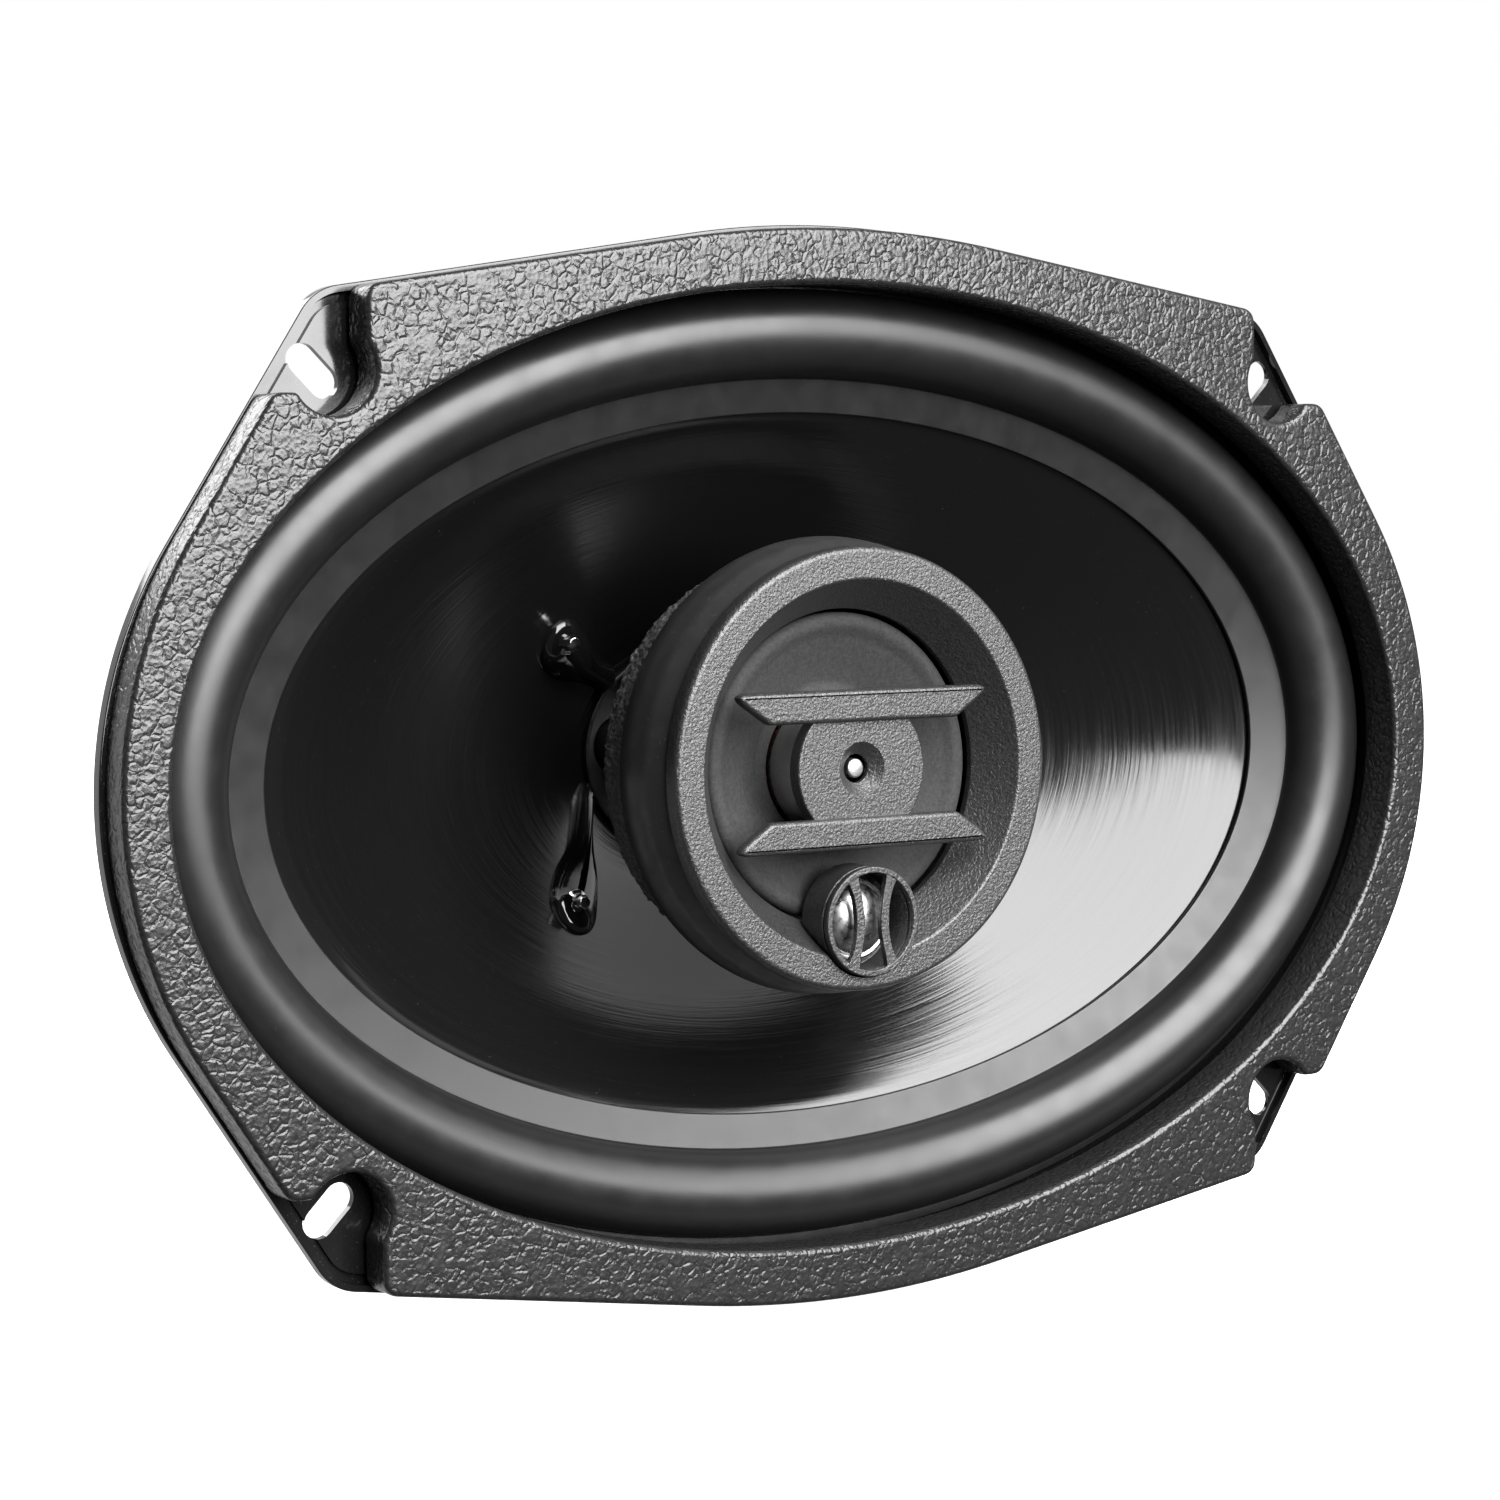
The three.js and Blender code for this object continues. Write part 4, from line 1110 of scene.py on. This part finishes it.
def cone_normal(x, z):
    """Unit normal of the cone's front surface, facing forwards."""
    step = 0.05
    slope_x = (cone_depth(x + step, z) - cone_depth(x - step, z)) / (2 * step)
    slope_z = (cone_depth(x, z + step) - cone_depth(x, z - step)) / (2 * step)
    normal = np.array([slope_x, -1.0, slope_z])
    return normal / np.linalg.norm(normal)


def make_glue(name, start, bend, blob, widths, node):
    """Poured bead of adhesive that runs over the cone from the neck and ends in a round pool."""
    steps, sides = 46, 28
    blob_half = widths[-1]
    path, half_widths, heights = [], [], []
    for s in np.linspace(0, 1, steps):
        route = (1 - s) ** 2 * np.array(start) + 2 * s * (1 - s) * np.array(bend) + s * s * np.array(blob)
        path.append(route)
        swell = 1 / (1 + math.exp(-(s - 0.62) * 11))
        half_widths.append(widths[0] + (blob_half - widths[0]) * swell)
        heights.append(1.9 + 0.5 * math.sin(math.pi * s) + 0.6 * swell)
        if s < 0.1:
            tip = 0.15 + 0.85 * math.sqrt(s / 0.1)
            half_widths[-1] *= tip
            heights[-1] *= tip
    path = np.array(path)
    tangent = np.gradient(path, axis=0)
    tangent /= np.linalg.norm(tangent, axis=1, keepdims=True)
    tail = [path[-1] + tangent[-1] * blob_half * math.sin(k * math.pi / 18) for k in range(1, 9)]
    shrink = [math.cos(k * math.pi / 18) for k in range(1, 9)]
    path = np.vstack([path, tail])
    tangent = np.vstack([tangent, np.repeat(tangent[-1:], 8, axis=0)])
    half_widths += [blob_half * s for s in shrink]
    heights += [heights[-1] * s for s in shrink]
    points = []
    for route, forward, half, height in zip(path, tangent, half_widths, heights):
        across = np.array([-forward[1], forward[0]])
        for j in range(sides):
            angle = 2 * math.pi * j / sides
            x, z = route + across * half * math.cos(angle)
            lift = height * math.sin(angle) * (1.0 if math.sin(angle) > 0 else 0.15)
            base = np.array([x, cone_depth(x, z), z])
            points.append(base + cone_normal(x, z) * lift)
    points += [np.mean(points[:sides], axis=0), np.mean(points[-sides:], axis=0)]
    make_piece(name, points, tube_faces(len(path), sides), "black_adhesive", CONE_BODY, [node], 60)


# Where each bead leaves the neck, the place it bends round, and its half widths at either end.
GLUE_ROUTES = {
    "upper": ((-10.5, 12.0), (-19.0, 14.0), (2.2, 4.4)),
    "lower": ((-15.6, -4.4), (-19.5, -15.0), (1.0, 4.5)),
}


def make_lead_ends():
    for word in ("upper", "lower"):
        eyelet = Span(f"lead_eyelet_{word}")
        centre = (eyelet.x, eyelet.z)
        start, bend, widths = GLUE_ROUTES[word]
        pool = (centre[0] + 0.5, centre[1] - 0.6)
        make_glue(f"glue_bead_{word}", start, bend, pool, widths, f"lead_glue_{word}")
        surface = cone_depth(*centre)
        tip = surface - 5.0
        turned(f"eyelet_pin_{word}", [
            (0, tip), (0.9, tip), (1.2, tip + 0.7), (1.2, surface - 2.6), (1.9, surface - 2.2),
            (1.9, surface - 1.4), (1.2, surface - 1.0), (1.2, eyelet.rear), (0, eyelet.rear),
        ], "bright_pin", CONE_BODY, [f"lead_eyelet_{word}"], 32, 0.2, *centre)


# ---------------------------------------------------------------- motor

TOP_PLATE_BORE, MAGNET_BORE, POLE_RADIUS, POLE_FRONT, POLE_BORE = 17.3, 24.0, 14.6, 60.5, 5.0
RIVET_HEAD, RIVET_SHANK, RIVET_REACH = 3.5, 2.0, 3.4


def make_motor():
    plate, magnet, back = Span("top_plate"), Span("magnet_ring"), Span("back_plate")
    section = ring_section(TOP_PLATE_BORE, plate.half_length, plate.front, plate.rear)
    turned("front_plate", section, "zinc_steel", BASKET, ["top_plate"], 128, 0.5)
    turned("ferrite_ring", [
        (MAGNET_BORE, magnet.front), soft_corner((magnet.half_length, magnet.front), 1.2),
        soft_corner((magnet.half_length, magnet.rear), 1.2), (MAGNET_BORE, magnet.rear),
    ], "ferrite", BASKET, ["magnet_ring"], 128, 0.5)
    seat = magnet.rear + 0.3
    turned("rear_plate", [
        (POLE_BORE, POLE_FRONT), (POLE_RADIUS, POLE_FRONT), (POLE_RADIUS, seat),
        soft_corner((back.half_length, seat), 0.8), soft_corner((back.half_length, back.rear), 1.2),
        soft_corner((POLE_BORE + 2.5, back.rear), 0.6), (POLE_BORE, back.rear - 2.5),
    ], "blacked_steel", BASKET, ["back_plate"], 128, 0.4)
    tip = plate.front + RIVET_REACH
    for i, (x, z) in enumerate(rivet_places()):
        turned(f"rivet_{i + 1}", [
            (0, SEAT_DEPTH - 1.9), soft_corner((RIVET_HEAD * 0.7, SEAT_DEPTH - 1.8), 1.0),
            soft_corner((RIVET_HEAD, SEAT_DEPTH - 0.9), 0.6), (RIVET_HEAD, SEAT_DEPTH - 0.3),
            (RIVET_SHANK, SEAT_DEPTH - 0.3), (RIVET_SHANK, tip), (0, tip),
        ], "zinc_steel", BASKET, [f"motor_rivet_{i + 1}"], 36, 0.2, x, z)


def make_boot():
    """Moulded cover over the magnet, with a stepped shoulder and shallow rings on its back."""
    outer, front, rear = boot_size.half_length, boot_size.front, boot_size.rear
    inner = outer - 1.8
    floor = rear - 1.3
    turned("magnet_cover", [
        soft_corner((inner, front), 0.5), soft_corner((outer, front), 0.6), (outer, front + 3.2),
        (outer - 0.6, front + 3.8), (outer - 0.6, rear - 7.4), (outer, rear - 6.8),
        soft_corner((outer, rear - 2.2), 1.5), soft_corner((outer - 2.2, rear), 1.5),
        (39.5, rear), (39.0, rear - 0.6), (36.6, rear - 0.6), (36.1, rear),
        (21.5, rear), (21.0, rear - 0.6), (19.4, rear - 0.6), (18.9, rear),
        soft_corner((13, rear), 0.5), soft_corner((13, floor), 0.4), soft_corner((inner, floor), 0.8),
    ], "boot_rubber", BASKET, ["magnet_boot"], 160, 0.25)


def make_post():
    post, nut = Span("centre_post"), Span("post_nut")
    thread = []
    pitch, bottom, top = 0.8, nut.front - 0.5, post.rear - 0.5
    for i in range(int((top - bottom) / pitch)):
        thread += [(4.25, bottom + pitch * i), (4.6, bottom + pitch * (i + 0.5))]
    turned("pod_stem", [
        (2.4, post.front), (post.half_length, post.front), (post.half_length, post.front + 1.5),
        (4.6, post.front + 1.5), (4.6, bottom - 0.6), *thread, (4.2, post.rear), (2.4, post.rear),
    ], "blacked_steel", BASKET, ["centre_post"], 64, 0.12)
    hexagon = circle(7.0, 6)
    body = raw_slab(hexagon, nut.front, nut.rear)
    crown = nut.rear + 0.02
    dome = raw_turned([
        (0, nut.front - 1), (7.4, nut.front - 1), (7.4, nut.rear - 0.7), (6.3, crown), (0, crown),
    ], 64, 0.0)
    combine(body, [dome], "INTERSECT")
    combine(body, [raw_slab(circle(4.9, 48), nut.front - 1, nut.rear + 1)], "DIFFERENCE")
    finished(body, "stem_nut", "zinc_steel", BASKET, ["post_nut"], 25)


# ---------------------------------------------------------------- centre pod

TWEETER_Z = Span("tweeter_bezel").z
TWEETER_RADIUS = Span("tweeter_cup").half_length


def tweeter_rod(radius, front, rear):
    """Plain rod on the tweeter's axis, for cutting and trimming."""
    return raw_slab(circle(radius, 96, 0.0, TWEETER_Z), front, rear)


def make_pod_shell():
    wide, narrow, wall, stem = 31.2, 27.0, 1.4, 2.6
    front, step, rear = -6.0, 4.5, 13.6
    turned("pod_cup", [
        (wide, front), (wide, step), (narrow, step), (narrow, rear), (stem, rear), (stem, rear - wall),
        (narrow - wall, rear - wall), (narrow - wall, step - wall), (wide - 1.6, step - wall),
        (wide - 1.6, front),
    ], "pod_plastic", BASKET, ["pod_housing"], 128, 0.5)
    turned("pod_skirt", [
        (33.0, -9.0), soft_corner((34.4, -5), 6), soft_corner((35, -0.4), 6),
        soft_corner((34.2, 3.0), 2.5), soft_corner((31.6, 4.4), 0.5), (31.5, 3.2), (33.5, -0.4),
        (32.9, -5), (31.6, -9.0),
    ], "sleeve_rubber", BASKET, ["pod_sleeve"], 160, 0.3, sharp=50)


def lattice_noise(points, cell, seed):
    """Smooth noise from 0 to 1 on a cubic lattice, the same in every run."""
    spots = points / cell
    base = np.floor(spots).astype(np.int64)
    part = spots - base
    part = part * part * (3 - 2 * part)
    total = np.zeros(len(points))
    for corner in np.ndindex(2, 2, 2):
        place = base + np.array(corner)
        mixed = place @ np.array([73856093, 19349663, 83492791]) + seed * 7919
        mixed = (mixed ^ (mixed >> 13)) * 1274126177 & 0x7FFFFFFF
        value = mixed / 0x7FFFFFFF
        share = np.prod(np.where(np.array(corner) == 1, part, 1 - part), axis=1)
        total += value * share
    return total


def make_foam():
    """Open-cell foam collar with a torn, pebbly skin."""
    foam = Span("foam_collar")
    inner, outer, sides = 27.3, foam.half_length, 560
    profile = [(inner, inner, foam.front)]
    profile += [(r, r, foam.front) for r in np.linspace(inner + 0.6, outer - 0.7, 6)]
    profile += [(outer, outer, y) for y in np.linspace(foam.front + 0.7, foam.rear - 0.7, 16)]
    profile += [(r, r, foam.rear) for r in np.linspace(outer - 0.7, inner + 0.6, 6)]
    profile += [(inner, inner, foam.rear)]
    points = oval_points(np.array(profile, float), sides)
    radius = np.hypot(points[:, 0], points[:, 2])
    lumps = lattice_noise(points, 0.9, 1) * 0.5 + lattice_noise(points, 0.42, 2) * 0.5
    push = np.where(radius > outer - 1.0, (lumps - 0.6) * 0.9, 0.0)
    points[:, 0] *= 1 + push / radius
    points[:, 2] *= 1 + push / radius
    faces = lathe_faces(sides, len(profile))
    make_piece("foam_ring", points, faces, "open_foam", BASKET, ["foam_collar"], 70)


FACE_INNER, FACE_THROAT = 28.5, 24.0


def make_face_ring():
    ring_size = Span("face_ring")
    outer, front, rear = ring_size.half_length, ring_size.front, ring_size.rear
    ring = raw_turned([
        soft_corner((outer, front + 3.0), 0.3), soft_corner((outer, front), 2.0),
        soft_corner((FACE_INNER, front), 0.9), (FACE_THROAT, front + 6.4), (FACE_THROAT, rear),
        (FACE_THROAT + 2.0, rear), (FACE_INNER + 0.5, front + 3.0),
    ], 192, 0.3)
    combine(ring, [tweeter_rod(TWEETER_RADIUS + 0.3, -20, -6.1)], "DIFFERENCE")
    finished(ring, "face_bowl", "satin_plastic", BASKET, ["face_ring"], 35)


BAR_NEAR, BAR_FAR, BAR_THICKNESS = (16.9, 7.2), (24.0, 12.0), 2.4
DISC_RADIUS, DISC_INSET, DISC_THICKNESS = 11.4, 1.3, 2.5
HOLE_RADIUS, SINK_RADIUS, SINK_DEPTH = 2.2, 5.2, 1.7


def guard_bar(side, front):
    """Straight guard bar, a trapezium whose long edge faces away from the centre."""
    (near_half, near_z), (far_half, far_z) = BAR_NEAR, BAR_FAR
    corners = [(-near_half, near_z), (near_half, near_z), (far_half, far_z), (-far_half, far_z)]
    outline = rounded(corners, 1.6, 6) * (1, side)
    if side < 0:
        outline = outline[::-1]
    return raw_slab(outline, front, front + BAR_THICKNESS, 0.7)


def make_guard():
    """Two bars bridged by a disc with a countersunk hole."""
    front = Span("midrange_guard").front
    face = front + DISC_INSET
    rear = face + DISC_THICKNESS
    disc = raw_turned([
        (0, face), soft_corner((DISC_RADIUS, face), 0.5), soft_corner((DISC_RADIUS, rear), 0.3), (0, rear),
    ], 128, 0.3)
    combine(disc, [guard_bar(1, front), guard_bar(-1, front)], "UNION")
    sink = raw_turned([
        (0, face - 1), (SINK_RADIUS, face - 1), (HOLE_RADIUS, face + SINK_DEPTH),
        (HOLE_RADIUS, rear + 1), (0, rear + 1),
    ], 96, 0.0)
    combine(disc, [sink], "DIFFERENCE")
    finished(disc, "guard_bars", "satin_plastic", BASKET, ["midrange_guard"], 30)


def make_midrange():
    plug = Span("phase_plug")
    radius, front, rear = plug.half_length, plug.front, plug.rear
    wall, floor = radius - 0.8, rear - 1.0
    turned("plug_cup", [
        (0, rear), (radius, rear), soft_corner((radius, front), 0.35), soft_corner((wall, front), 0.35),
        soft_corner((wall, floor), 0.5), (0, floor),
    ], "chrome", BASKET, ["phase_plug"], 128, 0.25)
    pin = Span("phase_plug_pin")
    turned("plug_pin", [
        (0, pin.front), soft_corner((1.5, pin.front), 0.5), (1.5, pin.rear), (0, pin.rear),
    ], "zinc_steel", BASKET, ["phase_plug_pin"], 48, 0.2)
    front_line = [(23.4, -4.3), (22.8, -5.0), (21.8, -5.2), (20.9, -4.9), (20.2, -4.3)]
    front_line += [(20.2 - 7.8 * s, -4.3 + 3.3 * s ** 1.1) for s in np.linspace(0.1, 1, 10)]
    front_line += [(11.1, -1.4)]
    loop = front_line + [(r, y + (0.3 if r < 12.5 else 0.7)) for r, y in reversed(front_line)]
    turned("midrange_felt", loop, "felt_paper", MIDRANGE, ["midrange_cone"], 128, 0.0, sharp=50)
    coil = Span("midrange_voice_coil")
    section = ring_section(11.3, coil.half_length, coil.front, coil.rear)
    turned("midrange_coil", section, "copper_winding", MIDRANGE, ["midrange_voice_coil"], 96, 0.1)
    plate, magnet = Span("midrange_top_plate"), Span("midrange_magnet")
    section = ring_section(12.6, 18, plate.front, plate.rear)
    turned("midrange_plate", section, "zinc_steel", BASKET, ["midrange_top_plate"], 96, 0.2)
    section = ring_section(13.2, 18, magnet.front, magnet.rear)
    turned("midrange_ferrite", section, "ferrite", BASKET, ["midrange_magnet"], 96, 0.3)
    turned("midrange_pole", [
        (1.5, 1.5), (10.8, 1.5), (10.8, 10.7), (18, 10.7), (18, 11.9), (1.5, 11.9),
    ], "zinc_steel", BASKET, ["midrange_yoke"], 96, 0.3)


# ---------------------------------------------------------------- tweeter

def tweeter_bar(side, front, rear):
    """Slim bar that bows towards its twin and flares where it meets the rim."""
    reach = TWEETER_RADIUS - 0.6
    half, bow, flare = 0.9, 2.0, 2.6
    inner, outer = [], []
    for s in np.linspace(-1, 1, 25):
        z = reach * s
        middle = bow + 1.9 * s * s
        width = half + flare * abs(s) ** 6 * 0.6
        inner.append((side * (middle - width * 0.6), TWEETER_Z + z))
        outer.append((side * (middle + width), TWEETER_Z + z))
    outline = np.array(inner + outer[::-1])
    area = np.sum(outline[:, 0] * np.roll(outline[:, 1], -1) - outline[:, 1] * np.roll(outline[:, 0], -1))
    if area < 0:
        outline = outline[::-1]
    return raw_slab(outline, front, rear, 0.12)


def make_tweeter():
    bezel, cup = Span("tweeter_bezel"), Span("tweeter_cup")
    section = ring_section(TWEETER_RADIUS - 1.0, TWEETER_RADIUS, bezel.front, bezel.rear)
    rim = raw_turned(section, 128, 0.35, 0.0, TWEETER_Z)
    bars = [tweeter_bar(side, bezel.front + 0.1, bezel.rear) for side in (1, -1)]
    trim = tweeter_rod(TWEETER_RADIUS - 0.3, bezel.front - 1, bezel.rear + 1)
    for bar in bars:
        combine(bar, [duplicate(trim)], "INTERSECT")
    bpy.data.objects.remove(trim)
    combine(rim, bars, "UNION")
    finished(rim, "tweeter_rim", "satin_plastic", BASKET, ["tweeter_bezel"], 30)
    wall = TWEETER_RADIUS - 0.9
    turned("tweeter_shell", [
        soft_corner((TWEETER_RADIUS, cup.front), 0.2), (TWEETER_RADIUS, cup.rear), (0, cup.rear),
        (0, cup.rear - 0.8), (wall, cup.rear - 0.8), soft_corner((wall, cup.front), 0.2),
    ], "satin_plastic", BASKET, ["tweeter_cup"], 96, 0.3, 0.0, TWEETER_Z)
    dome = Span("tweeter_dome")
    crown, rim_radius, foot = 3.1, 5.5, dome.rear - 0.4
    line = [(rim_radius * math.sin(a), foot - crown * math.cos(a)) for a in np.linspace(0, math.pi / 2, 16)]
    line += [(5.8, foot + 0.05), (6.1, foot - 0.25), (6.4, foot)]
    loop = line + [(max(r - 0.05, 0), y + 0.4) for r, y in reversed(line)]
    turned("dome_diaphragm", loop, "dome_foil", TWEETER_BODY, ["tweeter_dome"], 96, 0.0, 0.0, TWEETER_Z, 60)
    slug = Span("tweeter_magnet")
    section = ring_section(0, slug.half_length, slug.front, slug.rear)
    turned("tweeter_slug", section, "zinc_steel", BASKET, ["tweeter_magnet"], 64, 0.2, 0.0, TWEETER_Z)


def duplicate(solid):
    copy = bpy.data.objects.new("raw", solid.data.copy())
    bpy.context.scene.collection.objects.link(copy)
    return copy


# ---------------------------------------------------------------- terminals and wiring

BOARD_CENTRE, BOARD_TILT = (-88.2, 31.3, 0.0), 30.6
BOARD_LENGTH, BOARD_WIDTH, BOARD_THICKNESS = 16.0, 26.0, 3.0
BOARD_REST = SHEET + 0.6
BOARD_TOP = BOARD_REST + BOARD_THICKNESS
TAB_Z, TAB_THICKNESS, TAB_HEIGHT = 7.5, 0.8, 8.0
BOARD_RIVETS = ((-5.5, 10.5, "upper"), (-5.5, -10.5, "lower"))


def board_place():
    """From the board's own frame, whose Y points away from the basket, to the speaker's."""
    shift = Matrix.Translation(Vector(BOARD_CENTRE) * MM)
    return shift @ Matrix.Rotation(math.radians(BOARD_TILT), 4, "Z")


def rectangle(half_x, half_z, corner, x=0.0, z=0.0):
    corners = [(-half_x, -half_z), (half_x, -half_z), (half_x, half_z), (-half_x, half_z)]
    return rounded([(x + right, z + up) for right, up in corners], corner, 4)


def placed(solid):
    solid.data.transform(board_place())
    return solid


def make_terminals():
    board = raw_slab(rectangle(BOARD_LENGTH / 2, BOARD_WIDTH / 2, 1.6), BOARD_REST, BOARD_TOP, 0.4)
    wall = raw_slab(rectangle(1.4, 1.0, 0.3), BOARD_TOP - 1, BOARD_TOP + 3.4, 0.25)
    tab_places = (TAB_Z, -TAB_Z)
    rims = [
        raw_slab(rectangle(2.4, 4.4, 0.8, 0, z), BOARD_TOP - 1, BOARD_TOP + 0.8, 0.25)
        for z in tab_places
    ]
    combine(board, [wall, *rims], "UNION")
    pockets = [
        raw_slab(rectangle(0.7, 3.45, 0.1, 0, z), BOARD_TOP - 1.6, BOARD_TOP + 2)
        for z in tab_places
    ]
    holes = [raw_slab(circle(1.8, 32, x, z), 0, 9) for x, z, _ in BOARD_RIVETS]
    combine(board, pockets + holes, "DIFFERENCE")
    finished(placed(board), "terminal_board", "terminal_plastic", BASKET, ["terminal_block"], 30)
    bottom = BOARD_TOP - 1.3
    for width, side, word in ((6.3, 1, "positive"), (4.8, -1, "negative")):
        top = BOARD_TOP + TAB_HEIGHT
        half, taper = width / 2, 0.9
        outline = rounded([
            (bottom, -half), (top - 1.2, -half), (top, taper - half),
            (top, half - taper), (top - 1.2, half), (bottom, half),
        ], 0.25, 3)
        blade = raw_slab(outline, -TAB_THICKNESS / 2, TAB_THICKNESS / 2, 0.15)
        dimple = raw_slab(circle(0.85, 32, top - 3.2, 0.0), -2, 2)
        combine(blade, [dimple], "DIFFERENCE")
        stand = Matrix(((0, 1, 0, 0), (1, 0, 0, 0), (0, 0, 1, side * TAB_Z * MM), (0, 0, 0, 1)))
        blade.data.transform(stand)
        blade.data.flip_normals()
        finished(placed(blade), f"blade_{word}", "tinned_brass", BASKET, [f"terminal_{word}"], 30)
    for x, z, word in BOARD_RIVETS:
        rivet = raw_turned([
            (0, BOARD_REST), (1.5, BOARD_REST), (1.5, BOARD_TOP + 0.3), (2.6, BOARD_TOP + 0.3),
            soft_corner((2.5, BOARD_TOP + 1.0), 0.4), soft_corner((1.3, BOARD_TOP + 1.5), 0.5),
            (0, BOARD_TOP + 1.5),
        ], 48, 0.15, x, z)
        finished(placed(rivet), f"board_rivet_{word}", "zinc_steel", BASKET, [f"terminal_rivet_{word}"], 35)


def make_leads():
    """Woven leads from the cone, out through the windows, to the terminal board."""
    for side, word in ((1, "positive"), (-1, "negative")):
        eyelet = Span("lead_eyelet_upper" if side > 0 else "lead_eyelet_lower")
        x, z = eyelet.x, eyelet.z
        start = cone_depth(x, z) + 5.5
        path = smooth_path([
            (x, start, z), (-34, 42, side * 23), (-48, 36, side * 24), (-64, 33, side * 22),
            (-78, 34.5, side * 20.5), (-86, 38.5, side * 17.5), (-90.5, 40.3, side * 14.0),
        ], 26)
        points, faces = twisted_strands(path, 7, 0.48, 0.3, 6.0)
        lead = make_piece(
            f"lead_{word}", points, faces, "tinsel_braid", None, [f"tinsel_lead_{word}"], 60,
        )
        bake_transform(lead)


def make_pod_wires():
    rear = boot_size.rear
    for side, word in ((1, "positive"), (-1, "negative")):
        path = smooth_path([
            (-94.5, 42.0, side * 2.6), (-88, 46.5, side * 2.4), (-74, 53, side * 2), (-62, 62, side * 1.8),
            (-52.5, 71, side * 1.6), (-49.6, 80, side * 1.5), (-47.5, rear + 1.4, side * 1.4),
            (-41, rear + 1.6, side * 1.3), (-18, rear + 1.3, side * 1.1), (-6, rear + 3.3, side * 1.0),
            (-0.6, rear + 3.4, side * 0.95), (0, rear - 1, side * 0.95),
        ], 12)
        points, faces = tube_mesh(path, 0.7, 16)
        make_piece(f"wire_{word}", points, faces, "wire_insulation", BASKET, [f"pod_wire_{word}"], 60)


def make_capacitor():
    """Axial capacitor in a shrunk sleeve, lying across the corner of the basket."""
    can = Span("crossover_capacitor")
    half, radius = 10.5, 5.0
    profile = [
        (0, -half), soft_corner((radius - 0.8, -half), 0.6), soft_corner((radius, -half + 1.0), 0.6),
        (radius, -half + 2.0), (radius - 0.45, -half + 2.6), (radius, -half + 3.2),
        soft_corner((radius, half), 0.8), (radius - 1.2, half), (radius - 1.4, half - 0.4),
        (0, half - 0.4),
    ]
    body = raw_turned(profile, 72, 0.3)
    heading = Matrix.Rotation(math.radians(45), 4, "Y") @ Matrix.Rotation(math.radians(90), 4, "X")
    middle = Vector((can.x, (can.front + can.rear) / 2, can.z)) * MM
    body.data.transform(Matrix.Translation(middle) @ heading)
    finished(body, "capacitor_can", "capacitor_sleeve", BASKET, ["crossover_capacitor"], 40)


# ---------------------------------------------------------------- build

make_studio()
make_basket()
make_gasket()
make_surround()
make_cone()
make_spider()
make_voice_coil()
make_lead_ends()
make_motor()
make_boot()
make_post()
make_pod_shell()
make_foam()
make_face_ring()
make_guard()
make_midrange()
make_tweeter()
make_terminals()
make_leads()
make_pod_wires()
make_capacitor()
